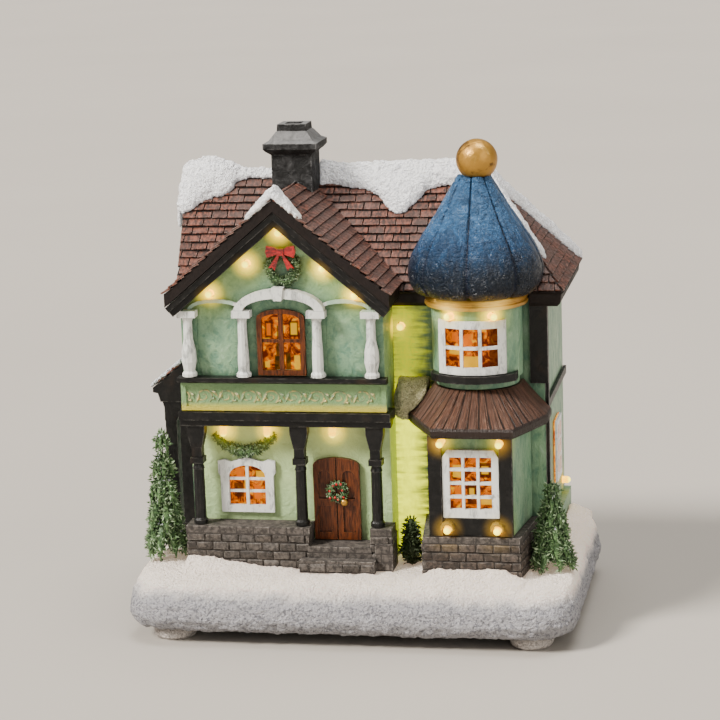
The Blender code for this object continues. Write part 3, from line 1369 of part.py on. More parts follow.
place("tower_lower_frame", make_lower_frame(), WHITE)
left, right, low, high = LOWER_OPENING
film = block(
    (left - 2.6, right + 2.6), (BAY_FRONT + WALL + GAP, BAY_FRONT + WALL + GAP + FILM_THICK),
    (low - 2.0, high + 2.0)
)
place("tower_lower_film", film, FILM)

# Plank awning: facets that run from the drum out to the fascia, ribbed like boards
AWNING_FRONT = -48.0
AWNING_HIP_Y = -20.0
AWNING_LEFT = 21.4
AWNING_RIGHT = 77.6
AWNING_CORNER_LEFT = 34.5
AWNING_CORNER_RIGHT = 66.8


def awning_ring(share, level, ridge=0.0):
    """The awning's outline at a level, drawn towards the drum, every other point raised as a board joint."""
    corners = (
        (AWNING_LEFT, BAY_BACK), (AWNING_LEFT, AWNING_HIP_Y), (AWNING_CORNER_LEFT, AWNING_FRONT),
        (AWNING_CORNER_RIGHT, AWNING_FRONT), (AWNING_RIGHT, AWNING_HIP_Y), (AWNING_RIGHT, BAY_BACK),
    )
    boards = (1, 4, 7, 4, 1)
    ring = []
    for (x0, y0), (x1, y1), count in zip(corners, corners[1:], boards):
        for k in range(count):
            for step, lift in ((0.0, -ridge), (0.16, ridge), (0.84, ridge)):
                if count == 1 and step:
                    continue
                t = (k + step) / count
                x = x0 + (x1 - x0) * t
                y = y0 + (y1 - y0) * t
                angle = math.atan2(y - TOWER_Y, x - TOWER_X)
                near_x = TOWER_X + (NECK_RADIUS + 1.0) * math.cos(angle)
                near_y = min(TOWER_Y + (NECK_RADIUS + 1.0) * math.sin(angle), BAY_BACK)
                out = (1.0 - share)
                ring.append(
                    (near_x + (x - near_x) * out, min(near_y + (y - near_y) * out, BAY_BACK), level + lift)
                )
    ring.append(
        (TOWER_X + (NECK_RADIUS + 1.0) * share + (AWNING_RIGHT - TOWER_X) * (1 - share), BAY_BACK, level)
    )
    return ring


def awning_shape():
    return lofted([
        awning_ring(0.06, AWNING_LOW),
        awning_ring(0.0, AWNING_LOW + 1.2),
        awning_ring(0.0, AWNING_EDGE - 1.0),
        awning_ring(0.04, AWNING_EDGE, 0.25),
        awning_ring(0.55, AWNING_EDGE + (AWNING_TOP - AWNING_EDGE) * 0.50, 0.25),
        awning_ring(1.0, AWNING_TOP),
    ])


def make_awning():
    room = extruded(
        [(BAY_LEFT + 6.0, BAY_FRONT + 8.0), (BAY_RIGHT - 6.0, BAY_FRONT + 8.0),
        (BAY_RIGHT - 6.0, BAY_BACK - 4.0),
         (BAY_LEFT + 6.0, BAY_BACK - 4.0)], "Z", AWNING_LOW - PAST, AWNING_TOP - 4.0,
    )
    shaft_radius = NECK_RADIUS - DRUM_WALL - 4.0
    shaft = turned(
        [(shaft_radius, AWNING_LOW), (shaft_radius, AWNING_TOP + PAST)], 20, (TOWER_X, TOWER_Y - 3.0)
    )
    return cut(awning_shape(), room, shaft)


place("tower_awning", make_awning(), PLANK)


SILL_OUT = 3.0
SILL_HALF = 17.0


def behind_house():
    """Everything from the house front backwards, which the round pieces are cut by."""
    return block((TOWER_X - 60.0, TOWER_X + 60.0), (BAY_BACK, 80.0), (60.0, 300.0))


def sector_panes(opening, columns, rows, bar, depth_low):
    left, right, low, high = opening
    shapes = []
    for x0, x1, z0, z1 in panes(
        evenly(left - bar / 2, right + bar / 2, columns), evenly(low - bar / 2, high + bar / 2, rows), bar
    ):
        shapes.append(block((TOWER_X + x0, TOWER_X + x1), (TOWER_Y - 40.0, depth_low), (z0, z1)))
    return shapes


def make_drum():
    profile = [
        (NECK_RADIUS, DRUM_LOW), (NECK_RADIUS, DRUM_SWELL), (DRUM_RADIUS, DRUM_SWELL + 0.6),
        (DRUM_RADIUS, DOME_LOW - GAP),
    ]
    drum = turned(profile, ROUND_STEPS, (TOWER_X, TOWER_Y))
    room = turned([(NECK_RADIUS - DRUM_WALL, DRUM_LOW - PAST), (NECK_RADIUS - DRUM_WALL, DRUM_SWELL + 1.6),
                   (DRUM_RADIUS - DRUM_WALL, DRUM_SWELL + 3.6), (DRUM_RADIUS - DRUM_WALL, DOME_LOW + PAST)],
                   ROUND_STEPS, (TOWER_X, TOWER_Y))
    left, right, low, high = UPPER_OPENING
    light = block(
        (TOWER_X + left - 0.8, TOWER_X + right + 0.8), (TOWER_Y - 40.0, TOWER_Y), (low - 0.8, high + 0.8)
    )
    drum = cut(drum, room, light, behind_house())
    for angle in DRUM_BULB_ANGLES:
        out = (math.sin(math.radians(angle)), -math.cos(math.radians(angle)), 0.0)
        reach = DRUM_RADIUS - DRUM_WALL - PAST
        start = (TOWER_X + out[0] * reach, TOWER_Y + out[1] * reach, DRUM_BULB_Z)
        drum = cut(drum, turned_along([(BULB_RADIUS + GAP, 0.0), (BULB_RADIUS + GAP, 8.0)], 10, start, out))
    return drum


place("tower_walls", make_drum(), MINT)


def drum_band(inner, outer, low, high, half_x):
    """A piece of tube round the drum, kept only in front, within a width."""
    tube = cut(
        turned([(outer, low), (outer, high)], ROUND_STEPS, (TOWER_X, TOWER_Y)),
        turned([(inner, low - PAST), (inner, high + PAST)], ROUND_STEPS, (TOWER_X, TOWER_Y)),
    )
    front = block(
        (TOWER_X - half_x, TOWER_X + half_x), (TOWER_Y - 40.0, TOWER_Y - 2.0), (low - PAST, high + PAST)
    )
    return common(tube, front)


left, right, low, high = UPPER_FRAME
upper_frame = drum_band(DRUM_RADIUS + GAP, DRUM_RADIUS + GAP + 1.5, low, high, right)
upper_frame = cut(upper_frame, *sector_panes(UPPER_OPENING, 3, 2, 1.2, TOWER_Y - 5.0))
place("tower_upper_frame", upper_frame, WHITE)
film_outer = DRUM_RADIUS - DRUM_WALL - GAP
film = drum_band(film_outer - FILM_THICK, film_outer, low + 1.0, high - 1.5, right - 1.2)
place("tower_upper_film", film, FILM)

sill_low = DRUM_SWELL + GAP
sill = drum_band(DRUM_RADIUS + GAP, DRUM_RADIUS + GAP + SILL_OUT, sill_low, low - GAP, SILL_HALF)
place("tower_sill", sill, TIMBER)

ring = cut(
    turned([(RING_RADIUS - 0.5, RING_LOW), (RING_RADIUS, RING_LOW + 0.6), (RING_RADIUS, DOME_LOW - GAP - 1.2),
            (RING_RADIUS - 0.8, DOME_LOW - GAP)], ROUND_STEPS, (TOWER_X, TOWER_Y)),
    turned([(DRUM_RADIUS + GAP, RING_LOW - PAST), (DRUM_RADIUS + GAP, DOME_LOW + PAST)], ROUND_STEPS,
    (TOWER_X, TOWER_Y)),
    behind_house(),
)
place("gold_ring", ring, GOLD)


def make_dome():
    """The onion: swelling panels between sunk seams, on a plain rim."""
    rings = []
    per_panel = 4
    steps = SEAMS * per_panel
    for number, (radius, height) in enumerate(dome_profile()):
        seam_depth = 0.0 if number == 0 else 0.5
        ring = []
        for k in range(steps):
            angle = 2 * math.pi * (k + 0.5) / steps + math.pi / SEAMS
            at_seam = k % per_panel == 0
            r = radius - (seam_depth if at_seam else 0.0)
            ring.append((TOWER_X + r * math.cos(angle), TOWER_Y + r * math.sin(angle), height))
        rings.append(ring)
    dome = lofted(rings)
    hollow = turned(
        [(DRUM_RADIUS - DRUM_WALL - 1.0, DOME_LOW - PAST), (DRUM_RADIUS - DRUM_WALL, DOME_LOW + 8.0),
         (13.0, DOME_LOW + 24.0), (5.0, DOME_LOW + 38.0)], 20, (TOWER_X, TOWER_Y),
    )
    return cut(dome, hollow)


place("onion_dome", make_dome(), DOME_BLUE)

ball_profile = []
ball_seat = DOME_LOW + 45.6 + GAP
for k in range(1, 9):
    angle = math.pi * k / 9
    ball_profile.append((BALL_RADIUS * math.sin(angle), BALL_Z - BALL_RADIUS * math.cos(angle)))
ball_profile = [(radius, z) for radius, z in ball_profile if z > ball_seat]
ball_profile.insert(
    0, (math.sqrt(BALL_RADIUS**2 - (BALL_Z - ball_seat)**2) if BALL_Z - ball_seat < BALL_RADIUS else 3.0,
    ball_seat)
)
ball_profile.append((0.8, BALL_Z + BALL_RADIUS - 0.05))
place("finial_ball", turned(ball_profile, 20, (BALL_X, TOWER_Y)), GOLD)


# Chimney: a plain shaft, a stepped and tapered cap and an open flue
CHIMNEY_X = -28.5
CHIMNEY_Y = 15.0
CHIMNEY_WIDTH = 16.6
CAP_LOW = WING_APEX + 13.6
CAP_TOP = CAP_LOW + 10.6


def square_ring(half, level):
    return [
        (CHIMNEY_X - half, CHIMNEY_Y - half, level), (CHIMNEY_X + half, CHIMNEY_Y - half, level),
        (CHIMNEY_X + half, CHIMNEY_Y + half, level), (CHIMNEY_X - half, CHIMNEY_Y + half, level),
    ]


def wing_roof_clearance():
    """The wing roof with its courses and a gap, which what stands on it is cut by."""
    grown = COURSE_STEP + GAP * 1.5
    half = WING_EAVE + PAST
    top = WING_APEX + grown
    outline = [
        (WING_X - half, 100.0), (WING_X + half, 100.0), (WING_X + half, top - half * WING_RISE),
        (WING_X, top), (WING_X - half, top - half * WING_RISE),
    ]
    return extruded(outline, "Y", WING_ROOF_FRONT - 20.0, RIDGE_Y + 10.0)


def make_chimney():
    half = CHIMNEY_WIDTH / 2
    wide = half + 2.8
    shaft = lofted([
        square_ring(half, CAP_LOW - 40.0), square_ring(half, CAP_LOW - 1.6), square_ring(wide - 0.8, CAP_LOW),
        square_ring(wide, CAP_LOW + 1.0), square_ring(wide, CAP_LOW + 3.2),
        square_ring(wide - 2.0, CAP_LOW + 4.2),
        square_ring(wide - 4.6, CAP_LOW + 7.6), square_ring(wide - 5.0, CAP_LOW + 7.8),
        square_ring(wide - 5.2, CAP_TOP),
    ])
    flue = lofted([square_ring(3.4, CAP_TOP - 12.0), square_ring(3.4, CAP_TOP + PAST)])
    return cut(shaft, flue, roof_clearance(), wing_roof_clearance())


place("chimney", make_chimney(), STONE)


# Snow lying on the roofs
def roof_level(x, y):
    """Height of the main roof over a point."""
    slope = RIDGE_Z - abs(y - RIDGE_Y) * MAIN_RISE
    return min(slope, RIDGE_Z - max(x - HIP_X, 0.0) * HIP_RISE)


SNOW_SEAT = 2.7
SNOW_ROOT = 5.0
SWELL = (
    (-1.0, 0.0), (-0.93, 0.5), (-0.7, 0.9), (-0.3, 1.0), (0.0, 1.0), (0.3, 1.0), (0.7, 0.9), (0.93, 0.5),
    (1.0, 0.0)
)


def drift(stations):
    """Snow along a crest: a station is the crest point, the way across, both reaches and the thickness."""
    rings = []
    for number, (x, y, across, near, far, thick) in enumerate(stations):
        way = (math.cos(math.radians(across)), math.sin(math.radians(across)))
        ring = []
        for share, swell in SWELL:
            s = share * (far if share > 0 else near)
            px = x + way[0] * s
            py = y + way[1] * s
            bump = 0.35 * math.sin(number * 2.1 + share * 5.0) * swell
            ring.append((px, py, roof_level(px, py) + SNOW_SEAT + thick * swell + bump))
        for share in (1.0, 0.0, -1.0):
            s = share * (far if share > 0 else near)
            px = x + way[0] * s
            py = y + way[1] * s
            ring.append((px, py, roof_level(px, py) - SNOW_ROOT))
        rings.append(ring)
    return lofted(rings)


def make_left_snow():
    """A lump over the left end of the ridge, down both faces, with a thin cap along the ridge."""
    snow = drift([
        (VERGE_LEFT - 1.6, RIDGE_Y, 90, 12.5, 11.0, 2.0), (VERGE_LEFT + 0.4, RIDGE_Y, 90, 14.2, 12.0, 3.9),
        (-73.2, RIDGE_Y, 90, 13.4, 12.0, 5.0), (-69.6, RIDGE_Y, 90, 11.0, 10.4, 5.5),
        (-65.6, RIDGE_Y, 90, 9.2, 9.0, 5.6), (-61.6, RIDGE_Y, 90, 8.4, 8.0, 4.9),
        (-58.0, RIDGE_Y, 90, 7.2, 6.6, 3.6), (-55.2, RIDGE_Y, 90, 3.6, 4.0, 1.8),
        (-51.0, RIDGE_Y, 90, 2.4, 2.6, 0.9),
        (-44.0, RIDGE_Y, 90, 2.2, 2.2, 0.7),
        (CHIMNEY_X - CHIMNEY_WIDTH / 2 - GAP, RIDGE_Y, 90, 2.2, 2.2, 0.8),
    ])
    return cut(snow, roof_clearance(), wing_roof_clearance())


place("roof_snow_left", make_left_snow(), SNOW)


def make_right_snow():
    """The drift from the chimney to the end of the ridge, and the snow down both hips behind the tower."""
    ridge_drift = drift([
        (CHIMNEY_X + CHIMNEY_WIDTH / 2 + GAP, RIDGE_Y, 90, 4.6, 6.0, 3.6),
        (-16.0, RIDGE_Y, 90, 4.8, 7.0, 3.0),
        (-8.0, RIDGE_Y, 90, 5.4, 8.0, 2.6), (0.0, RIDGE_Y, 90, 6.4, 8.0, 2.6),
        (5.0, RIDGE_Y, 90, 8.2, 9.0, 3.0),
        (9.0, RIDGE_Y, 90, 12.2, 9.0, 3.4), (13.0, RIDGE_Y, 90, 14.8, 9.0, 3.6),
        (16.6, RIDGE_Y, 90, 14.4, 9.0, 3.6),
        (20.6, RIDGE_Y, 90, 11.4, 9.0, 3.6), (25.0, RIDGE_Y, 90, 6.8, 9.0, 3.6),
        (32.0, RIDGE_Y, 90, 5.2, 9.0, 3.9),
        (40.0, RIDGE_Y, 90, 5.4, 8.6, 4.4), (HIP_X, RIDGE_Y, 90, 6.6, 7.6, 4.2),
        (HIP_X + 2.6, RIDGE_Y, 90, 5.0, 6.0, 2.6),
    ])
    back_way = math.degrees(math.atan2(EAVE_BACK - RIDGE_Y, EAVE_RIGHT - HIP_X))
    back_hip = []
    front_hip = []
    for share, near, far, thick in (
        (-0.06, 4.0, 4.0, 2.8), (0.12, 5.2, 4.6, 3.6), (0.3, 4.4, 4.4, 2.7), (0.5, 4.8, 4.6, 2.9),
        (0.7, 4.4, 4.4, 2.5), (0.88, 4.6, 4.2, 2.3), (0.98, 3.0, 3.0, 1.5),
    ):
        x = HIP_X + (EAVE_RIGHT - HIP_X) * share
        back_hip.append((x, RIDGE_Y + (EAVE_BACK - RIDGE_Y) * share, back_way + 90.0, near, far, thick))
        if share < 0.8:
            front_hip.append(
                (x, RIDGE_Y + (EAVE_FRONT - RIDGE_Y) * share, 90.0 - back_way, near, far, thick * 0.9)
            )
    snow = fused(ridge_drift, drift(back_hip), drift(front_hip))
    dome_room = turned(dome_profile(GAP + 0.5), ROUND_STEPS, (TOWER_X, TOWER_Y))
    under_eave = block((-FAR, FAR), (-FAR, FAR), (EAVE_LOW - 20.0, EAVE_LOW + 1.0))
    return cut(snow, roof_clearance(), wing_roof_clearance(), dome_room, under_eave)


place("roof_snow_right", make_right_snow(), SNOW)


def make_gable_snow():
    """A saddle of snow over the wing's apex."""
    half = 13.5
    rings = []
    count = 9
    for k in range(count):
        t = -1.0 + 2.0 * k / (count - 1)
        x = WING_X + t * half
        z = WING_APEX - abs(t * half) * WING_RISE
        thick = 4.6 * (1.0 - t * t) + 0.5 + 0.4 * math.sin(k * 2.3)
        reach = 6.5 + 6.0 * (1.0 - abs(t)) + 0.8 * math.sin(k * 1.7)
        front = WING_ROOF_FRONT - 0.8
        rings.append([
            (x, front + 0.4, z - 3.0), (x, front, z + thick * 0.35), (x, front + 1.2, z + thick * 0.85),
            (x, front + reach * 0.5, z + thick), (x, front + reach * 0.9, z + thick * 0.7),
            (x, front + reach, z + 0.4), (x, front + reach, z - 3.0),
        ])
    return cut(lofted(rings), wing_roof_clearance())


place("gable_snow", make_gable_snow(), SNOW)


def make_recess_snow():
    """A drift on the beam between the wing and the tower, against the awning's left slope."""
    back = HOUSE_FRONT - GAP
    left = WING_RIGHT + GAP + 0.6
    right = AWNING_CORNER_LEFT
    outline = [
        (left, back), (left + 0.2, back - 8.0), (left + 3.4, back - 12.4), (left + 9.6, back - 14.4),
        (right - 4.0, back - 14.0), (right, back - 8.0), (right, back),
    ]
    rings = []
    for share, level in (
        (0.8, 84.6), (0.94, 86.6), (1.0, 89.6), (0.94, 93.0), (0.78, 96.2), (0.5, 98.8), (0.3, 99.6)
    ):
        rings.append([
            (left + (right - left) * 0.4 + (x - left - (right - left) * 0.4) * (0.64 + 0.36 * share),
             back + (y - back) * share, level)
            for x, y in outline
        ])
    snow = lofted(rings)
    for shift in ((-1.5 * GAP, 0.0, GAP), (-GAP, -1.5 * GAP, GAP), (0.0, GAP, 2 * GAP)):
        room = awning_shape()
        room.transform(Matrix.Translation(Vector(shift)))
        snow = cut(snow, room)
    over = block((AWNING_LEFT + 7.0, FAR), (-FAR, FAR), (AWNING_EDGE, FAR))
    under = block((AWNING_LEFT - 2.0, FAR), (-FAR, FAR), (-FAR, AWNING_LOW + 1.0))
    return cut(snow, over, under)


place("recess_snow", make_recess_snow(), SNOW)


# Fir trees and the bush: tiers of drooping boughs round a trunk
def make_tree(x, y, height, radius, tiers, boughs, lean=0.0):
    steps = boughs * 2
    rings = [
        [(x + 2.4 * math.cos(2 * math.pi * k / steps), y + 2.4 * math.sin(2 * math.pi * k / steps),
        GROUND) for k in range(steps)]
    ]
    trunk_top = 5.0
    for number in range(tiers):
        share = number / tiers
        low = GROUND + trunk_top + (height - trunk_top) * share
        tier_height = (height - trunk_top) / tiers
        wide = radius * (1.0 - 0.78 * share)
        for level, size, wave in (
            (low + 0.9, 0.42, 0.1), (low, 0.98, 0.26), (low + tier_height * 0.34, 0.80, 0.2),
            (low + tier_height * 0.9, 0.46, 0.1),
        ):
            ring = []
            for k in range(steps):
                angle = 2 * math.pi * k / steps + number * 0.5
                lobe = 1.0 + wave * (1 if k % 2 else -1) + 0.06 * math.sin(k * 2.7 + number)
                r = wide * size * lobe
                droop = -0.9 * wave / 0.26 if k % 2 else 0.5
                ring.append((
                    x + lean * (level - GROUND) + r * math.cos(angle), y + r * math.sin(angle),
                    level + droop,
                ))
            rings.append(ring)
    top = GROUND + height
    tip = []
    for k in range(steps):
        angle = 2 * math.pi * k / steps
        tip.append((x + lean * height + 0.5 * math.cos(angle), y + 0.5 * math.sin(angle), top))
    rings.append(tip)
    return lofted(rings)


TREE_LEFT = (-BASE_WIDTH / 2 + 10.8, -22.0)
TREE_RIGHT = (BASE_WIDTH / 2 - 13.3, -25.0)
BUSH = (21.4, -21.0)
place("tree_left", make_tree(*TREE_LEFT, 56.0, 7.4, 6, 7), GREEN, sharp=60.0)
tree_right = cut(
    make_tree(*TREE_RIGHT, 36.5, 8.4, 4, 7), plinth_shape(2 * GAP, GROUND - PAST, PLINTH_TOP + GAP)
)
place("tree_right", tree_right, GREEN, sharp=60.0)
place("bush", make_tree(*BUSH, 18.5, 4.5, 2, 7), GREEN, sharp=60.0)


# Light string: every bulb sits in a hole in a wall and is joined to the wire behind it
def bulb(start, way, wall, out=BULB_OUT):
    """A bulb from behind a wall, through it, to its round tip. Start is on the wall's outer face."""
    way = Vector(way).normalized()
    back = Vector(start) - way * (wall + 1.2)
    length = wall + 1.2 + out
    profile = [(BULB_RADIUS, 0.0), (BULB_RADIUS, length - 0.9), (BULB_RADIUS * 0.6, length)]
    return turned_along(profile, 8, back, way), back + way * 0.3


def wire(points):
    """A square wire through points, as one closed strip."""
    rings = []
    for k, point in enumerate(points):
        before = Vector(points[max(k - 1, 0)])
        after = Vector(points[min(k + 1, len(points) - 1)])
        way = (after - before).normalized()
        side = way.orthogonal().normalized() if k == 0 else (side - way * side.dot(way)).normalized()
        other = way.cross(side)
        rings.append(
            [tuple(Vector(point) + (side * a + other * b) * WIRE_RADIUS) for a,
            b in ((1, 1), (-1, 1), (-1, -1), (1, -1))]
        )
    return lofted(rings)


def make_string():
    bulbs = []
    behind = {}

    def add(name, start, way, wall, out=BULB_OUT):
        shape, back = bulb(start, way, wall, out)
        bulbs.append(shape)
        behind[name] = tuple(back)

    for k, (x, z) in enumerate(GABLE_BULBS):
        add(f"gable{k}", (x, WING_FRONT, z), (0, -1, 0), WALL)
    for k, x in enumerate(PORCH_BULBS):
        add(
            f"porch{k}", (x, PORCH_BULB_Y, BEAM_LOW + 2.2), (0, 0, -1), SOFFIT_HIGH - BEAM_LOW - 2.2,
            PORCH_BULB_OUT
        )
    add("recess", (RECESS_BULB[0], HOUSE_FRONT, RECESS_BULB[1]), (0, -1, 0), WALL)
    add("side", (HOUSE_RIGHT, SIDE_BULB[0], SIDE_BULB[1]), (1, 0, 0), WALL)
    for k, x in enumerate(BAY_BULBS):
        add(f"awning{k}", (x, BAY_FRONT, BAY_BULB_Z), (0, -1, 0), WALL, 4.4)
    for k, x in enumerate(BASE_BULBS):
        add(f"base{k}", (x, BAY_FRONT, BASE_BULB_Z), (0, -1, 0), WALL, 4.6)
    for k, angle in enumerate(DRUM_BULB_ANGLES):
        out = (math.sin(math.radians(angle)), -math.cos(math.radians(angle)), 0.0)
        start = (TOWER_X + out[0] * DRUM_RADIUS, TOWER_Y + out[1] * DRUM_RADIUS, DRUM_BULB_Z)
        add(f"drum{k}", start, out, DRUM_WALL)

    gable_y = behind["gable0"][1]
    soffit_z = behind["porch0"][2]
    inner_y = HOUSE_FRONT + WALL + 1.5
    runs = [
        [behind["gable3"], behind["gable1"], behind["gable0"], behind["gable2"], behind["gable4"]],
        [behind["porch0"], behind["porch1"], behind["porch2"]],
        # Down the inside of the gable wall to the porch bulbs
        [behind["gable3"], (WING_LEFT + WALL + 1.5, gable_y, 128.0),
        (WING_LEFT + WALL + 1.5, gable_y, soffit_z + 1.0), behind["porch0"]],
        # Back along the wing into the house and up to the bulb in the recess
        [behind["porch2"], (WING_RIGHT - 12.0, behind["porch2"][1], soffit_z),
        (WING_RIGHT - 12.0, inner_y, soffit_z), (RECESS_BULB[0], inner_y, soffit_z),
        (RECESS_BULB[0], inner_y, 112.0),
         behind["recess"]],
        # Across behind the house front into the tower bay and up the drum
        [(RECESS_BULB[0], inner_y, soffit_z), (RECESS_BULB[0], inner_y, 74.0),
        (BAY_RIGHT - 8.0, inner_y, 74.0),
         (BAY_RIGHT - 8.0, BAY_BACK - 3.0, 74.0), (BAY_RIGHT - 4.4, BAY_FRONT + 6.0, 74.0),
         (BAY_RIGHT - 4.4, BAY_FRONT + 6.0, BAY_BULB_Z), behind["awning1"]],
        [(BAY_RIGHT - 4.4, BAY_FRONT + 6.0, 74.0), (BAY_RIGHT - 4.4, BAY_FRONT + 6.0, BASE_BULB_Z),
        behind["base1"], behind["base0"]],
        [behind["awning1"], (TOWER_X, BAY_FRONT + WALL + 1.5, BAY_BULB_Z + 0.8), behind["awning0"]],
        [behind["drum0"], (TOWER_X, TOWER_Y - 11.4, DRUM_BULB_Z), behind["drum1"]],
        [(TOWER_X, TOWER_Y - 11.4, DRUM_BULB_Z), (TOWER_X, TOWER_Y - 6.0, DRUM_BULB_Z - 6.0),
        (TOWER_X, TOWER_Y - 6.0, 92.0),
         (TOWER_X, BAY_FRONT + 12.0, 80.0), (TOWER_X, BAY_FRONT + WALL + 1.5, BAY_BULB_Z + 0.8)],
        # Along the inside of the front and right walls to the side bulb
        [(BAY_RIGHT - 8.0, inner_y, 74.0), (HOUSE_RIGHT - WALL - 1.5, inner_y, 74.0),
        (HOUSE_RIGHT - WALL - 1.5, inner_y, SIDE_BULB[1]),
         (HOUSE_RIGHT - WALL - 1.5, SIDE_BULB[0] - 4.0, SIDE_BULB[1]), behind["side"]],
        # Down to the battery holder
        [(RECESS_BULB[0], inner_y, 74.0), (RECESS_BULB[0], inner_y, HOLDER_HIGH + 4.0),
         (HOLDER_X + HOLDER_OUT_X - 3.0, HOLDER_Y, HOLDER_HIGH + 4.0),
         (HOLDER_X + HOLDER_OUT_X - 3.0, HOLDER_Y, HOLDER_HIGH + GAP)],
    ]
    string = wire(runs[0])
    for run in runs[1:]:
        string = combined(string, "UNION", wire(run))
    for shape in bulbs:
        string = combined(string, "UNION", shape)
    return string


place("light_string", make_string(), BULB)
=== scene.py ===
"""Lit Christmas village house: paints, tiles, stones, snow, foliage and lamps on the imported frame.

The house's named sizes are in millimetres and are taken times mm. What goes straight into a node, a
mesh or the camera is in metres. X runs to the right, Y to the back and Z up.
"""
import math

import bmesh
import bpy
from mathutils import Matrix, Vector


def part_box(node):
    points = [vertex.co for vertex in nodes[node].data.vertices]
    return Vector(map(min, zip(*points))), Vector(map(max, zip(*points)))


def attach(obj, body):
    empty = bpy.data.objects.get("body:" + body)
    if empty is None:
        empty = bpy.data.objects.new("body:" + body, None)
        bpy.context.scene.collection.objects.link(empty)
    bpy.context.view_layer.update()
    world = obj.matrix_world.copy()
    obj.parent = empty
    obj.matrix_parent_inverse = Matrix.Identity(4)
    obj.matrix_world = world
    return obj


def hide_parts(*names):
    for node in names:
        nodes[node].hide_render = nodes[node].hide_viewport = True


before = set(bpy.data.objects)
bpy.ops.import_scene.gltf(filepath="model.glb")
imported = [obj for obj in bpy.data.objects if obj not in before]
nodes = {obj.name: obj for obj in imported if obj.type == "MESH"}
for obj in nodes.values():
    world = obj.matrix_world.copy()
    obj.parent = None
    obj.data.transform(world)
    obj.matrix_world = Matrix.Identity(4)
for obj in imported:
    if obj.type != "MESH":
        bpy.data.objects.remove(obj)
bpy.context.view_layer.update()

# Floor, lamps and camera
# The house stands on a pale matt floor. A strong soft lamp stands in front on the left, a weaker one on
# the right and one above. The camera looks from the right and from a little above, as in the photograph.
mm = 0.001


def is_socket(value):
    return isinstance(value, bpy.types.NodeSocket)


def link(value, socket):
    value.id_data.links.new(value, socket)


def add(kind, inputs, tree=None, **settings):
    """A node. Its inputs are plain values, or sockets to link, whose tree it then joins."""
    if tree is None:
        tree = next(value for value in inputs.values() if is_socket(value)).id_data
    node = tree.nodes.new(kind)
    for key, value in settings.items():
        setattr(node, key, value)
    for key, value in inputs.items():
        if is_socket(value):
            link(value, node.inputs[key])
        else:
            node.inputs[key].default_value = value
    return node


def made(kind, inputs, **settings):
    """The first output of a new node."""
    return add(kind, inputs, **settings).outputs[0]


def calc(operation, *values):
    """The output of a Math node."""
    return made("ShaderNodeMath", dict(enumerate(values)), operation=operation)


def times(*values):
    return calc("MULTIPLY", *values)


def plus(*values):
    return calc("ADD", *values)


def minus(*values):
    return calc("SUBTRACT", *values)


def split(value):
    """The X, Y and Z outputs of a place or a normal."""
    return add("ShaderNodeSeparateXYZ", {0: value}).outputs


def join(x=0.0, y=0.0, z=0.0):
    return made("ShaderNodeCombineXYZ", {0: x, 1: y, 2: z})


def scaled_axes(place, scale):
    """A place with its axes scaled, for grain that runs one way."""
    return made("ShaderNodeMapping", {0: place, "Scale": scale})


def mixed(share, first, second):
    """A mix of two colours."""
    first, second = (colour if is_socket(colour) else (*colour, 1.0) for colour in (first, second))
    return add("ShaderNodeMix", {0: share, 6: first, 7: second}, data_type="RGBA").outputs[2]


def ranged(value, low, high, to_low=0.0, to_high=1.0):
    """A value taken smoothly from one range to another."""
    inputs = {0: value, 1: low, 2: high, 3: to_low, 4: to_high}
    return made("ShaderNodeMapRange", inputs, interpolation_type="SMOOTHSTEP")


def noise(place, scale, detail=3.0, rough=0.55, warp=0.0):
    """The value of a noise texture."""
    return made(
        "ShaderNodeTexNoise",
        {"Vector": place, "Scale": scale, "Detail": detail, "Roughness": rough, "Distortion": warp},
    )


def object_place(tree):
    return tree.nodes.new("ShaderNodeTexCoord").outputs["Object"]


def new_paint(name, roughness, metallic=0.0, coat=0.0, glow=0.0, shine=0.5):
    """A material, its shader and its Object coordinates."""
    paint = bpy.data.materials.new(name)
    paint.use_nodes = True
    tree = paint.node_tree
    shader = tree.nodes["Principled BSDF"]
    for label, value in (
        ("Roughness", roughness), ("Metallic", metallic), ("Coat Weight", coat),
        ("Specular IOR Level", shine), ("Emission Strength", glow),
    ):
        shader.inputs[label].default_value = value
    return paint, shader, object_place(tree)


def feed(shader, socket_name, value):
    """Links a value to an input of the shader."""
    link(value, shader.inputs[socket_name])


def feed_roughness(shader, value, at_low, at_high):
    """The roughness of the paint, from where a texture is low to where it is high."""
    feed(shader, "Roughness", ranged(value, 0.3, 0.7, at_low, at_high))


def bumped(shader, height, strength, distance):
    """Feeds the shader's normal from a height."""
    feed(
        shader, "Normal",
        made("ShaderNodeBump", {"Height": height, "Strength": strength, "Distance": distance})
    )


def finish(shader, colour, texture, at_low, at_high, strength, distance):
    """Feeds a colour, and the roughness and bumps that one texture gives."""
    feed(shader, "Base Color", colour)
    feed_roughness(shader, texture, at_low, at_high)
    bumped(shader, texture, strength, distance)


def new_object(name, mesh):
    piece = bpy.data.objects.new(name, mesh)
    bpy.context.scene.collection.objects.link(piece)
    return piece


floor_mesh = bpy.data.meshes.new("floor")
floor_mesh.from_pydata([(-15, -15, 0), (15, -15, 0), (15, 15, 0), (-15, 15, 0)], [], [(0, 1, 2, 3)])
floor = new_object("floor", floor_mesh)
floor_paint, shader, place = new_paint("pale floor", 0.75)
floor_tone = mixed(noise(place, 3.0), (0.36, 0.33, 0.295), (0.40, 0.37, 0.33))
feed(shader, "Base Color", floor_tone)
floor.data.materials.append(floor_paint)

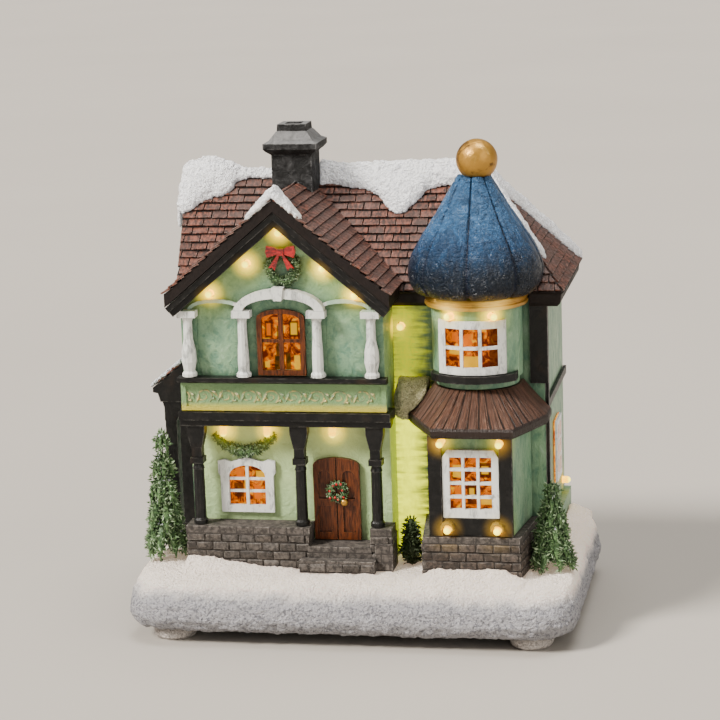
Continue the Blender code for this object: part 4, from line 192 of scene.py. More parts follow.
for lamp_name, lamp_place, lamp_turn, lamp_power, lamp_colour in (
    ("key lamp", (-0.85, -0.66, 1.05), 16.0, 7.4, (1.0, 0.95, 0.88)),
    ("fill lamp", (1.00, -0.70, 0.50), 60.0, 1.5, (1.0, 0.96, 0.90)),
    ("top lamp", (0.10, 0.12, 1.20), 40.0, 2.6, (1.0, 0.98, 0.95)),
):
    lamp = bpy.data.lights.new(lamp_name, "SUN")
    lamp.angle = math.radians(lamp_turn)
    lamp.energy = lamp_power
    lamp.color = lamp_colour
    lamp_object = bpy.data.objects.new(lamp_name, lamp)
    lamp_object.location = lamp_place
    aim = Vector((0, 0, 0.1)) - Vector(lamp_place)
    lamp_object.rotation_euler = aim.to_track_quat("-Z", "Y").to_euler()
    bpy.context.scene.collection.objects.link(lamp_object)
world = bpy.data.worlds.new("soft room")
world.use_nodes = True
world.node_tree.nodes["Background"].inputs[0].default_value = (0.88, 0.84, 0.78, 1.0)
world.node_tree.nodes["Background"].inputs[1].default_value = 0.40
bpy.context.scene.world = world

view_side = math.radians(11.0)
view_height = math.radians(12.0)
view_roll = math.radians(1.9)
view_distance = 0.980
view_target = Vector((-0.0015, -0.0045, 0.1045))
photo_focal_px = 2400.0
photo_px = 720.0
side_way = Vector((math.cos(view_side), math.sin(view_side), 0.0))
back_way = Vector((
    math.sin(view_side) * math.cos(view_height), -math.cos(view_side) * math.cos(view_height),
    math.sin(view_height),
))
up_way = back_way.cross(side_way)
rolled_side = side_way * math.cos(view_roll) - up_way * math.sin(view_roll)
rolled_up = up_way * math.cos(view_roll) + side_way * math.sin(view_roll)
camera_data = bpy.data.cameras.new("camera")
camera_data.sensor_width = 36.0
camera_data.lens = photo_focal_px * camera_data.sensor_width / photo_px
camera_data.clip_start = 0.01
camera = bpy.data.objects.new("camera", camera_data)
bpy.context.scene.collection.objects.link(camera)
turn = Matrix((rolled_side, rolled_up, back_way)).transposed().to_4x4()
camera.matrix_world = Matrix.Translation(view_target + back_way * view_distance) @ turn
bpy.context.scene.camera = camera

# Snowy base and its feet
# A cast resin slab with thick grainy snow over it, hollow below for the batteries. Its snow is a rough
# paste with coarse grit, painted warm and glowing as lamp light where the lit house stands and painted darker
# bluish as shade on the front band.


def house_lamps():
    """Where the lamps stand out of the walls, in millimetres, and which way each points."""
    front = (0, -1, 0)
    down = (0, 0, -1)
    lamps = []
    for x, z in ((-26.5, 162.1), (-40.1, 149.7), (-9.3, 147.9), (-55.6, 137.6), (3.2, 137.1)):
        lamps.append(((x, -36.3, z), front))
    for x in (-54.0, -35.8, -9.0):
        lamps.append(((x, -29.4, 79.5), down))
    lamps.append(((17.3, -14.3, 120.3), front))
    lamps.append(((76.8, 47.5, 41.5), (1, 0, 0)))
    for x in (37.2, 60.4):
        lamps.append(((x, -46.9, 80.2), front))
    for x in (39.4, 59.2):
        lamps.append(((x, -47.1, 45.3), front))
    for angle in (-27.0, 27.0):
        way = (math.sin(math.radians(angle)), -math.cos(math.radians(angle)), 0.0)
        lamps.append(((49.0 + way[0] * 19.8, -18.5 + way[1] * 19.8, 128.8), way))
    return lamps


def new_group(name, inputs, outputs):
    """A shader node group with named sockets, and its own inputs and outputs."""
    tree = bpy.data.node_groups.new(name, "ShaderNodeTree")
    for label, kind, value in inputs:
        tree.interface.new_socket(
            label, in_out="INPUT", socket_type="NodeSocket" + kind
        ).default_value = value
    for label, kind in outputs:
        tree.interface.new_socket(label, in_out="OUTPUT", socket_type="NodeSocket" + kind)
    return tree, tree.nodes.new("NodeGroupInput").outputs, tree.nodes.new("NodeGroupOutput").inputs


# Light that the lamps throw on what is near them: 1 at a lamp, 0 beyond the reach
lamp_glow, given, out = new_group(
    "light near the lamps", [("Reach", "Float", 0.016)], [("Glow", "Float")]
)
glow_place = object_place(lamp_glow)
total = None
for (x, y, z), way in house_lamps():
    away = add(
        "ShaderNodeVectorMath", {0: glow_place, 1: (x * mm, y * mm, z * mm)}, operation="DISTANCE"
    ).outputs["Value"]
    near = made(
        "ShaderNodeMapRange", {0: away, 1: 0.001, 2: given["Reach"], 3: 1.0, 4: 0.0}
    )
    near = calc("POWER", near, 2.2)
    total = near if total is None else plus(total, near)
link(calc("MINIMUM", total, 1.0), out["Glow"])


def grouped(place, group, **values):
    """The outputs of a shader group, in the tree of a place."""
    inputs = {label.capitalize(): value for label, value in values.items()}
    return add("ShaderNodeGroup", inputs, place.id_data, node_tree=group).outputs


def glow_near(place, reach_mm):
    return grouped(place, lamp_glow, reach=reach_mm * mm)["Glow"]


def lamp_lit(colour, tone, reach_mm, share):
    """A colour that takes another tone near the lamps."""
    return mixed(times(glow_near(colour, reach_mm), share), colour, tone)


# Painted shade in the hollows: 1 in a corner or a joint, 0 where nothing stands near
hollow_shade, given, out = new_group(
    "painted shade in the hollows", [("Reach", "Float", 0.0015), ("Depth", "Float", 0.8)],
    [("Mask", "Float")],
)
open_share = add("ShaderNodeAmbientOcclusion", {"Distance": given["Reach"]}, samples=8).outputs["AO"]
closed_share = ranged(open_share, 0.30, 0.92, 1.0, 0.0)
link(times(closed_share, given["Depth"]), out["Mask"])


def shaded_in_hollows(colour, dark, reach_mm, depth):
    """A colour with painted shade, a darker tone, in its hollows."""
    return mixed(grouped(colour, hollow_shade, reach=reach_mm * mm, depth=depth)["Mask"], colour, dark)


# Grit of three sizes in one height, for snow, and where its hollows lie, for painted shade
grit, given, out = new_group(
    "snow grit", [("Scale", "Float", 600.0)], [("Height", "Float"), ("Hollow Shade", "Float")]
)
grit_place = object_place(grit)
fine = noise(grit_place, times(given["Scale"], 2.6), 4.0, 0.65)
coarse = noise(grit_place, given["Scale"], 3.0, 0.6, 0.6)
grains = add("ShaderNodeTexVoronoi", {"Vector": grit_place, "Scale": times(given["Scale"], 1.4)})
packed = minus(1.0, grains.outputs["Distance"])
height = plus(times(coarse, 0.9), times(fine, 0.5))
height = plus(height, times(packed, 0.35))
link(height, out["Height"])
link(ranged(height, 0.78, 1.06, 1.0, 0.0), out["Hollow Shade"])


def snow_paint(name, lit, shade, lamp_lit_from=None, scale=760.0, soft_light=(0.0, 0.0, 0.0)):
    """White grainy paint with painted shade in its hollows and pits and painted lamp light near lamps.
    Over a given height it takes warm painted lamp light and glow, and below that a painted darker bluish
    shade on the front band.
    """
    paint, shader, place = new_paint(name, 0.8, glow=0.5)
    grain = grouped(place, grit, scale=scale)
    # Painted shade: the pits and the grit's hollows take the shade colour.
    pits = ranged(noise(place, 900.0, 3.0, 0.6), 0.38, 0.52, 0.8, 0.0)
    colour = mixed(calc("MAXIMUM", pits, times(grain["Hollow Shade"], 0.25)), lit, shade)
    patches = ranged(noise(place, 45.0, 2.0), 0.35, 0.7, 0.0, 0.15)
    colour = mixed(patches, colour, shade)
    if lamp_lit_from is not None:
        # Painted shade on the front band, darker bluish grey, and painted lamp light, warm and glowing, over
        # the given height.
        level = split(place)["Z"]
        uneven_level = plus(level, times(noise(place, 110.0, 3.0), 0.006))
        front_band_low, front_band_high = 19.5, 27.5
        lower = ranged(uneven_level, front_band_low * mm, front_band_high * mm, 0.88, 0.0)
        colour = mixed(lower, colour, mixed(pits, (0.37, 0.36, 0.385), (0.105, 0.108, 0.130)))
        lit_top = ranged(uneven_level, lamp_lit_from - 0.003, lamp_lit_from + 0.004, 0.0, 0.6)
        colour = mixed(lit_top, colour, (0.98, 0.84, 0.70))
        soft_light = mixed(lit_top, soft_light, (1.0, 0.74, 0.52))
    colour = shaded_in_hollows(colour, shade, 1.6, 0.55)
    # Painted lamp light near the lamps, yellow in the colour and in the glow, over a soft painted glow.
    glow = glow_near(place, 20.0)
    colour = mixed(times(glow, 0.8), colour, (1.0, 0.86, 0.25))
    feed(shader, "Base Color", colour)
    light = mixed(glow, soft_light, (1.0, 0.78, 0.20))
    feed(shader, "Emission Color", light)
    bumped(shader, grain["Height"], 1.0, 0.0024)
    return paint


def merged_copy(name):
    """A CAD node's mesh as a bmesh, with its loose triangles joined."""
    shape = bmesh.new()
    shape.from_mesh(nodes[name].data)
    bmesh.ops.remove_doubles(shape, verts=shape.verts, dist=0.00001)
    return shape


def socket_ids(tree):
    return {
        item.name: item.identifier
        for item in tree.interface.items_tree if item.item_type == "SOCKET" and item.in_out == "INPUT"
    }


def new_shape_tree(name, inputs):
    """A Geometry Nodes tree with named inputs, and its own inputs and output."""
    tree = bpy.data.node_groups.new(name, "GeometryNodeTree")
    tree.interface.new_socket("Geometry", in_out="INPUT", socket_type="NodeSocketGeometry")
    for label, kind, value in inputs:
        socket = tree.interface.new_socket(label, in_out="INPUT", socket_type="NodeSocket" + kind)
        if value is not None:
            socket.default_value = value
    tree.interface.new_socket("Geometry", in_out="OUTPUT", socket_type="NodeSocketGeometry")
    return tree, tree.nodes.new("NodeGroupInput").outputs, tree.nodes.new("NodeGroupOutput").inputs


def grown(name, start, tree, values):
    """The plain mesh that a Geometry Nodes tree makes from a start mesh."""
    holder = new_object(name, start)
    growth = holder.modifiers.new("growth", "NODES")
    growth.node_group = tree
    names = socket_ids(tree)
    for label, value in values.items():
        growth[names[label]] = value
    graph = bpy.context.evaluated_depsgraph_get()
    mesh = bpy.data.meshes.new_from_object(holder.evaluated_get(graph))
    bpy.data.objects.remove(holder)
    return mesh


def own_place(tree):
    return tree.nodes.new("GeometryNodeInputPosition").outputs[0]


def own_normal(tree):
    return tree.nodes.new("GeometryNodeInputNormal").outputs[0]


def close_tree(pieces, paint, out):
    """Ends a tree: its pieces made real, painted and put out."""
    whole = made("GeometryNodeRealizeInstances", {0: pieces})
    painted = made("GeometryNodeSetMaterial", {0: whole, "Material": paint})
    link(painted, out[0])


def press_tree(tree, geometry, amount, paint, out):
    """Ends a tree: its surface moved along its normals, smoothed, painted and put out."""
    offset = made("ShaderNodeVectorMath", {0: own_normal(tree), "Scale": amount}, operation="SCALE")
    moved = made("GeometryNodeSetPosition", {"Geometry": geometry, "Offset": offset})
    close_tree(made("GeometryNodeSetShadeSmooth", {0: moved}), paint, out)


# Snow crust: an even fine mesh is pushed in and out by two sizes of noise
crust_tree, given, out = new_shape_tree("snow crust", [
    ("Grain", "Float", 500.0), ("Rise", "Float", 0.0006), ("Paint", "Material", None),
])
crust_place = own_place(crust_tree)
lumps = noise(crust_place, times(given["Grain"], 0.32), 2.0)
grains = noise(crust_place, given["Grain"], 3.0, 0.7)
push = plus(times(lumps, 1.2), grains)
push = times(minus(push, 0.92), given["Rise"])
push = times(push, 2.0)
press_tree(crust_tree, given["Geometry"], push, given["Paint"], out)


def mesh_of(shape, name):
    """The mesh that a bmesh makes. The bmesh is used up."""
    mesh = bpy.data.meshes.new(name)
    shape.to_mesh(mesh)
    shape.free()
    return mesh


def house_piece(name, mesh, replaced=()):
    """Makes a mesh a piece of the house, in place of the CAD nodes that are named."""
    piece = new_object(name, mesh)
    if replaced:
        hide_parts(*replaced)
    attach(piece, "house")


def snow_crust(name, voxel_mm, rise_mm, grain, paint, smoothing=3):
    """A rough snow piece in place of a CAD node: its solid is remeshed, eased and roughened."""
    holder = new_object("crust holder", mesh_of(merged_copy(name), name + "_crust"))
    even = holder.modifiers.new("even", "REMESH")
    even.mode = "VOXEL"
    even.voxel_size = voxel_mm * mm
    eased = holder.modifiers.new("eased", "SMOOTH")
    eased.iterations = smoothing
    graph = bpy.context.evaluated_depsgraph_get()
    start = bpy.data.meshes.new_from_object(holder.evaluated_get(graph))
    bpy.data.objects.remove(holder)
    mesh = grown(name, start, crust_tree, {"Grain": grain, "Rise": rise_mm * mm, "Paint": paint})
    house_piece(name + "_crust", mesh, [name])


base_snow = snow_paint("base snow", (0.95, 0.93, 0.92), (0.52, 0.51, 0.54), lamp_lit_from=0.0235)
snow_crust("snow_base", 0.85, 1.0, 560.0, base_snow, smoothing=2)
foot_snow = snow_paint("foot snow", (0.84, 0.76, 0.70), (0.40, 0.36, 0.33))
for foot in ("foot_front_left", "foot_front_right", "foot_rear_left", "foot_rear_right"):
    snow_crust(foot, 0.55, 0.22, 600.0, foot_snow, smoothing=1)

# Battery holder, switch and sliding cover
# Black injection-moulded plastic with a fine spark texture, plated steel contacts and three plain cells.
# The holder is fixed over the opening in the base plate, and the cover slides in two rails below it.


def dress(paint, *names):
    """Gives CAD nodes a paint in place of their plain one."""
    for name in names:
        for k in range(len(nodes[name].material_slots)):
            nodes[name].material_slots[k].material = paint


plastic, shader, place = new_paint("moulded black plastic", 0.5)
spark = noise(place, 2600.0, 2.0)
feed(shader, "Base Color", mixed(spark, (0.022, 0.022, 0.023), (0.045, 0.045, 0.046)))
feed_roughness(shader, noise(place, 60.0), 0.42, 0.6)
bumped(shader, spark, 0.35, 0.0002)
dress(plastic, "base_plate", "battery_box", "battery_door", "switch_knob")

plated, shader, place = new_paint("plated steel", 0.3, metallic=1.0)
rolled = scaled_axes(place, (60.0, 1800.0, 1800.0))
rolling = noise(rolled, 1.0, 2.0)
feed(shader, "Base Color", mixed(rolling, (0.52, 0.52, 0.53), (0.72, 0.72, 0.71)))
feed_roughness(shader, rolling, 0.22, 0.42)
dress(plated, "battery_contact_left", "battery_contact_right", "switch_body")

jacket, shader, place = new_paint("cell jacket", 0.3, coat=0.3)
along = split(place)["X"]
band = ranged(calc("ABSOLUTE", plus(along, 0.026)), 0.0165, 0.0172)
scuffs = ranged(noise(place, 300.0), 0.45, 0.75, 0.0, 0.3)
jacket_colour = mixed(band, (0.045, 0.05, 0.06), (0.30, 0.22, 0.12))
feed(shader, "Base Color", mixed(scuffs, jacket_colour, (0.20, 0.20, 0.21)))
feed_roughness(shader, noise(place, 120.0), 0.24, 0.4)
dress(jacket, "battery_cell_1", "battery_cell_2", "battery_cell_3")

# Plastered walls of the house, the wing, the bay and the drum
# Cast resin shells brushed with thick mint-green paint. The brush leaves swirls and ridges, the hollows
# have painted blue-green shade, and painted lamp light turns the paint round the lamps yellow and glowing.

# Brush work: swirled ridges in a height, and broad patches of thicker and thinner paint
brush_work, given, out = new_group(
    "brush work", [("Scale", "Float", 260.0), ("Stretch", "Vector", (1.0, 1.0, 1.0))],
    [("Height", "Float"), ("Patches", "Float")],
)
brush_place = object_place(brush_work)
brush_place = scaled_axes(brush_place, given["Stretch"])
ridges = noise(brush_place, given["Scale"], 5.0, 0.6, 0.9)
hairs = noise(brush_place, times(given["Scale"], 3.5), 2.0, 0.5, 0.8)
brush_height = plus(ridges, times(hairs, 0.35))
link(brush_height, out["Height"])
link(noise(brush_place, times(given["Scale"], 0.22), 2.0), out["Patches"])


def plaster(name, stretch=(1.0, 1.0, 0.5)):
    """Mint paint: light on the ridges, painted shade in the hollows, painted lamp light near lamps."""
    light, shade = (0.225, 0.365, 0.215), (0.110, 0.230, 0.150)
    paint, shader, place = new_paint(name, 0.42, glow=3.6, shine=0.35)
    strokes = grouped(place, brush_work, scale=240.0, stretch=stretch)
    colour = mixed(ranged(strokes["Height"], 0.48, 0.78), shade, light)
    colour = mixed(ranged(strokes["Patches"], 0.42, 0.66, 0.0, 0.35), colour, shade)
    strong = ranged(strokes["Height"], 0.76, 0.92, 0.0, 0.5)
    colour = mixed(strong, colour, (0.36, 0.50, 0.36))
    colour = shaded_in_hollows(colour, (0.035, 0.075, 0.050), 4.0, 0.7)
    # Painted lamp light: yellow paint and a glow round the lamps.
    glow = glow_near(place, 7.8)
    wide_glow = glow_near(place, 15.6)
    colour = mixed(times(wide_glow, 0.7), colour, (0.38, 0.52, 0.05))
    colour = mixed(glow, colour, (1.0, 0.80, 0.12))
    feed(shader, "Base Color", colour)
    halo = mixed(times(wide_glow, 0.09), (0.0, 0.0, 0.0), (0.55, 0.50, 0.0))
    halo = mixed(glow, halo, (1.0, 0.66, 0.0))
    feed(shader, "Emission Color", halo)
    feed(shader, "Roughness", ranged(strokes["Height"], 0.3, 0.9, 0.5, 0.34))
    bumped(shader, strokes["Height"], 0.6, 0.0014)
    return paint, shader, place, colour, strokes


mint, *_ = plaster("mint plaster")
dress(mint, "bay_walls", "tower_walls")

# The recess between wing and tower glows brightest, so its light is painted by place
recess_mint, shader, place, colour, strokes = plaster("main house plaster")
recess_middle, recess_front = 18.5, -8.5
spot = split(place)
across = calc("ABSOLUTE", minus(spot["X"], recess_middle * mm))
feather_place = scaled_axes(place, (0.12, 1.0, 1.0))
feather = times(minus(noise(feather_place, 560.0), 0.5), 0.020)
across = plus(across, feather)
in_front = calc("LESS_THAN", spot["Y"], recess_front * mm)
streak = times(ranged(across, 0.001, 0.0115, 1.0, 0.0), in_front)
height_share = ranged(spot["Z"], 0.026, 0.046, 0.85, 1.0)
streak = times(streak, height_share)
strokes_lit = ranged(strokes["Height"], 0.50, 0.80, 0.8, 1.0)
streak = times(streak, strokes_lit)
lit_colour = mixed(streak, colour, (0.50, 0.62, 0.0))
feed(shader, "Base Color", lit_colour)
upper_dim = ranged(spot["Z"], 0.086, 0.104, 1.0, 0.25)
feed(shader, "Emission Color", mixed(times(streak, upper_dim), (0.0, 0.0, 0.0), (0.78, 0.80, 0.002)))
shader.inputs["Emission Strength"].default_value = 2.5
dress(recess_mint, "house_walls")

# Boxed eaves and tiled roofs
# Rows of cast tiles, reddish brown with grey dry-brushing on their faces, black in the joints and painted
# shade in the hollows between them. Every row laps over the one below, and the joints are staggered from
# row to row.


def random_value(low, high, seed):
    return add("FunctionNodeRandomValue", {2: low, 3: high, "Seed": seed}).outputs[1]


def toned(pieces, tone):
    """Stores a tone with each piece, for its paint."""
    return made(
        "GeometryNodeStoreNamedAttribute", {0: pieces, "Name": "tone", "Value": tone},
        data_type="FLOAT", domain="INSTANCE",
    )


# Pieces in rows on a slope: X runs along the eave, Y up the slope and Z out of it
rows_tree, given, out = new_shape_tree("pieces in rows", [
    ("Piece", "Object", None), ("Rows", "Int", 10), ("Per Row", "Int", 10),
    ("Pitch", "Float", 0.007), ("Rise", "Float", 0.004), ("Stagger", "Float", 0.5),
    ("Lift", "Float", 0.0008), ("Tilt", "Float", 0.2), ("Turn", "Float", 0.02),
    ("Left", "Float", 0.0), ("Left Slope", "Float", 0.0),
    ("Right", "Float", 0.1), ("Right Slope", "Float", 0.0),
    ("Uneven", "Float", 0.0), ("Seed", "Int", 1), ("Paint", "Material", None),
])
t = rows_tree
count = times(given["Rows"], given["Per Row"])
spots = add("GeometryNodePoints", {"Count": count})
number = t.nodes.new("GeometryNodeInputIndex").outputs[0]
row = calc("FLOOR", calc("DIVIDE", plus(number, 0.001), given["Per Row"]))
column = minus(number, times(row, given["Per Row"]))
shift = times(calc("FLOORED_MODULO", row, 2.0), given["Stagger"])
wander = add("FunctionNodeRandomValue", {2: -0.12, 3: 0.12, "ID": row, "Seed": given["Seed"]}).outputs[1]
x = times(plus(plus(column, shift), wander), given["Pitch"])
y = times(plus(row, 0.5), given["Rise"])
spot = join(x, y, given["Lift"])
laid = made("GeometryNodeSetPosition", {0: spots.outputs[0], "Position": spot})
half_pitch = times(given["Pitch"], 0.38)
left_edge = plus(given["Left"], times(given["Left Slope"], y))
right_edge = plus(given["Right"], times(given["Right Slope"], y))
beyond_left = calc("LESS_THAN", plus(x, half_pitch), left_edge)
beyond_right = calc("GREATER_THAN", minus(x, half_pitch), right_edge)
beyond = calc("MAXIMUM", beyond_left, beyond_right)
kept = made("GeometryNodeDeleteGeometry", {0: laid, "Selection": beyond}, domain="POINT")
little_turn = random_value(-1.0, 1.0, given["Seed"])
little_lift = random_value(0.75, 1.25, plus(given["Seed"], 3))
turned_by = join(times(given["Tilt"], little_lift), z=times(little_turn, given["Turn"]))
piece_shape = add("GeometryNodeObjectInfo", {"Object": given["Piece"]}).outputs["Geometry"]
set_pieces = add("GeometryNodeInstanceOnPoints", {0: kept, "Instance": piece_shape, "Rotation": turned_by})
tone = random_value(0.0, 1.0, plus(given["Seed"], 7))
whole = made("GeometryNodeRealizeInstances", {0: toned(set_pieces.outputs[0], tone)})
here = split(own_place(t))
left_limit = plus(given["Left"], times(given["Left Slope"], here[1]))
right_limit = plus(given["Right"], times(given["Right Slope"], here[1]))
trimmed = calc("MAXIMUM", calc("MINIMUM", here[0], right_limit), left_limit)
rough = add(
    "ShaderNodeTexNoise",
    {"Vector": own_place(t), "Scale": 420.0, "Detail": 1.0},
).outputs[1]
rough = made("ShaderNodeVectorMath", {0: rough, 1: (0.5, 0.5, 0.5)}, operation="SUBTRACT")
rough = made("ShaderNodeVectorMath", {0: rough, "Scale": given["Uneven"]}, operation="SCALE")
trimmed_spot = join(trimmed, here[1], here[2])
ended = made("GeometryNodeSetPosition", {0: whole, "Position": trimmed_spot, "Offset": rough})
painted = made("GeometryNodeSetMaterial", {0: ended, "Material": given["Paint"]})
link(painted, out[0])


def one_piece(length_mm, height_mm, thick_mm, round_mm):
    """A small slab with eased edges, as a helper for the rows."""
    shape = bmesh.new()
    bmesh.ops.create_cube(shape, size=1.0)
    shape.transform(Matrix.Diagonal((length_mm * mm, height_mm * mm, thick_mm * mm, 1.0)))
    bmesh.ops.bevel(shape, geom=shape.edges, offset=round_mm * mm, segments=1, profile=0.6, affect="EDGES")
    return new_object("one piece", mesh_of(shape, "one piece"))


def on_slope(corner_mm, along, up):
    """The matrix that takes a slope's own axes to the house, from its lower left corner."""
    along = Vector(along).normalized()
    up = Vector(up).normalized()
    outward = along.cross(up)
    turn = Matrix((along, up, outward)).transposed().to_4x4()
    return Matrix.Translation(Vector(corner_mm) * mm) @ turn


def smooth_piece(name, shape, paint, sharp_from, replaced=()):
    """Makes a bmesh a smooth painted piece, with edges that stay sharp from an angle on."""
    mesh = mesh_of(shape, name)
    mesh.materials.append(paint)
    mesh.shade_smooth()
    mesh.set_sharp_from_angle(angle=math.radians(sharp_from))
    house_piece(name, mesh, replaced)


def laid_rows(name, slopes, slab, paint):
    """Bakes rows of one slab on several slopes into one piece. Each slope gives its matrix and values."""
    joined = bmesh.new()
    for seed, (matrix, values) in enumerate(slopes):
        mesh = grown(name, bpy.data.meshes.new("start"), rows_tree, {
            "Piece": slab, "Seed": seed * 11 + 5, "Paint": paint, **values,
        })
        mesh.transform(matrix)
        joined.from_mesh(mesh)
        bpy.data.meshes.remove(mesh)
    bpy.data.objects.remove(slab)
    smooth_piece(name, joined, paint, 40.0)


# Worn edges: 1 where an outside or inside edge is near, broken up by noise
worn_edges, given, out = new_group(
    "worn edges", [("Width", "Float", 0.0004), ("Broken", "Float", 900.0)],
    [("Mask", "Float")],
)
round_normal = made("ShaderNodeBevel", {"Radius": given["Width"]}, samples=4)
true_normal = worn_edges.nodes.new("ShaderNodeNewGeometry").outputs["Normal"]
likeness = add(
    "ShaderNodeVectorMath", {0: round_normal, 1: true_normal}, operation="DOT_PRODUCT"
).outputs["Value"]
edge = ranged(likeness, 0.80, 0.99, 1.0, 0.0)
edge_place = object_place(worn_edges)
chips = ranged(noise(edge_place, given["Broken"], 3.0), 0.42, 0.62)
link(times(edge, chips), out["Mask"])


def worn(colour, tone, width, broken, share):
    """A colour with another tone rubbed along its edges."""
    mask = grouped(colour, worn_edges, width=width, broken=broken)["Mask"]
    return mixed(times(mask, share), colour, tone)


def stored(place, name):
    """A value that a piece's mesh carries."""
    return add("ShaderNodeAttribute", {}, place.id_data, attribute_name=name).outputs["Fac"]


def tile_paint(name, red, dark, dust):
    """Tile paint: each tile has its own tone, with streaks, grey dry-brushing and painted shade in the
    hollows.
    """
    paint, shader, place = new_paint(name, 0.55, shine=0.3)
    tone = stored(place, "tone")
    streaks = noise(scaled_axes(place, (1.0, 0.45, 0.45)), 900.0, 3.0)
    colour = mixed(ranged(streaks, 0.35, 0.7), dark, red)
    colour = mixed(ranged(tone, 0.55, 1.0, 0.0, 0.55), colour, dark)
    wide = noise(place, 36.0, 2.0)
    colour = mixed(ranged(wide, 0.42, 0.62, 0.0, 0.6), colour, dust)
    colour = worn(colour, (0.52, 0.37, 0.31), 0.0005, 700.0, 0.65)
    colour = shaded_in_hollows(colour, (0.006, 0.004, 0.004), 1.4, 0.95)
    finish(shader, colour, streaks, 0.62, 0.44, 0.6, 0.0005)
    return paint


red_tiles = tile_paint("reddish tiles", (0.200, 0.064, 0.038), (0.034, 0.018, 0.014), (0.085, 0.052, 0.044))
joint_black, shader, place = new_paint("black in the joints", 0.6, shine=0.2)
feed(shader, "Base Color", mixed(noise(place, 500.0), (0.004, 0.003, 0.003), (0.016, 0.010, 0.008)))
feed_roughness(shader, noise(place, 200.0), 0.45, 0.7)
bumped(shader, noise(place, 700.0), 0.5, 0.0005)
dress(joint_black, "main_roof", "wing_roof")

ridge_y, ridge_z, eave_y, hip_x = 21.0, 176.9, -17.5, 47.0
eave_z, eave_right, eave_back, verge_left, verge_lean = 135.4, 82.5, 59.5, -77.4, 3.4
roof_half, roof_rise, hip_reach = ridge_y - eave_y, ridge_z - eave_z, eave_right - hip_x
main_run = math.hypot(roof_half, roof_rise) * mm
hip_run = math.hypot(hip_reach, roof_rise) * mm
course_rise = main_run * (1.0 - 1.5 / roof_rise) / 14
hip_rise = hip_run * (1.0 - 1.5 / roof_rise) / 14
main_hip_slope = -hip_reach * mm / main_run
verge_slope = verge_lean * mm / main_run
main_values = {
    "Rows": 14, "Per Row": 26, "Pitch": 0.0067, "Rise": course_rise, "Lift": 0.00078, "Tilt": -0.22,
    "Turn": 0.02, "Uneven": 0.00035,
}
whole_length = (eave_right - verge_left) * mm
slopes = [
    (on_slope((verge_left, eave_y, eave_z), (1, 0, 0), (0, roof_half, roof_rise)),
     {**main_values, "Left": verge_lean * mm, "Left Slope": -verge_slope, "Right": whole_length,
      "Right Slope": main_hip_slope}),
    (on_slope((eave_right, eave_back, eave_z), (-1, 0, 0), (0, -roof_half, roof_rise)),
     {**main_values, "Left": 0.0, "Left Slope": -main_hip_slope, "Right": whole_length - verge_lean * mm,
      "Right Slope": verge_slope}),
    (on_slope((eave_right, eave_y, eave_z), (0, 1, 0), (-hip_reach, 0, roof_rise)),
     {**main_values, "Rise": hip_rise, "Per Row": 13, "Left": 0.0, "Left Slope": roof_half * mm / hip_run,
      "Right": 2 * roof_half * mm, "Right Slope": -roof_half * mm / hip_run}),
]
laid_rows("main_roof_tiles", slopes, one_piece(6.35, 4.5, 0.75, 0.16), red_tiles)

wing_half, wing_height, wing_front, wing_x, wing_foot = 45.2, 38.0, -43.0, -27.0, 138.03
wing_run = math.hypot(wing_half, wing_height) * mm
valley_foot, valley_top = 27.9 * mm, 63.2 * mm
valley = (valley_top - valley_foot) / wing_run
wing_length = (ridge_y - wing_front) * mm
wing_values = {
    "Rows": 15, "Per Row": 18, "Pitch": 0.0047, "Rise": wing_run / 15.1, "Lift": 0.00105, "Tilt": -0.22,
    "Turn": 0.02, "Uneven": 0.00035,
}
slopes = [
    (on_slope((wing_x + wing_half, wing_front, wing_foot), (0, 1, 0), (-wing_half, 0, wing_height)),
     {**wing_values, "Left": -0.0004, "Right": valley_foot, "Right Slope": valley}),
    (on_slope((wing_x - wing_half, ridge_y, wing_foot), (0, -1, 0), (wing_half, 0, wing_height)),
     {**wing_values, "Left": wing_length - valley_foot, "Left Slope": -valley,
      "Right": wing_length + 0.0004}),
]
laid_rows("wing_roof_tiles", slopes, one_piece(4.45, 4.4, 0.7, 0.15), red_tiles)

# Wing front and its frieze
# The gabled wing is plastered like the house. Between its black ledge and the porch beam runs a frieze
# with a raised scroll, picked out in ochre over a green ground that is yellow along its lower edge.
frieze_low, frieze_front = 90.3, -36.7
wing_mint, shader, place, colour, strokes = plaster("wing plaster", (0.8, 1.0, 0.8))
spot = split(place)
proud = calc("LESS_THAN", spot["Y"], (frieze_front + 1.2) * mm)
foot_light = ranged(spot["Z"], (frieze_low + 0.5) * mm, (frieze_low + 3.8) * mm, 0.9, 0.0)
ground = mixed(strokes["Patches"], (0.11, 0.22, 0.10), (0.24, 0.36, 0.15))
ground = mixed(foot_light, ground, (0.55, 0.46, 0.05))
colour = mixed(proud, colour, ground)
beam_foot = 86.5
# Painted lamp light: the porch wall under the beam is painted paler yellow-green, most towards the top.
porch_lamp_light = ranged(spot["Z"], 40.0 * mm, (beam_foot - 2.5) * mm, 0.55, 1.0)
porch_lamp_light = times(porch_lamp_light, calc("LESS_THAN", spot["Z"], beam_foot * mm))
colour = mixed(times(porch_lamp_light, 0.65), colour, (0.66, 0.80, 0.33))
feed(shader, "Base Color", colour)
dress(wing_mint, "wing_walls")

ochre, shader, place = new_paint("ochre scroll", 0.5)
rubbed = ranged(noise(place, 500.0), 0.4, 0.65)
scroll_colour = mixed(rubbed, (0.16, 0.24, 0.12), (0.46, 0.38, 0.13))
feed(shader, "Base Color", scroll_colour)
bumped(shader, noise(place, 900.0), 0.4, 0.0004)


def skin(shape, rings):
    """Faces between rings of points, one after the other."""
    for first, second in zip(rings, rings[1:]):
        for k in range(len(first)):
            after = (k + 1) % len(first)
            shape.faces.new((first[k], first[after], second[after], second[k]))


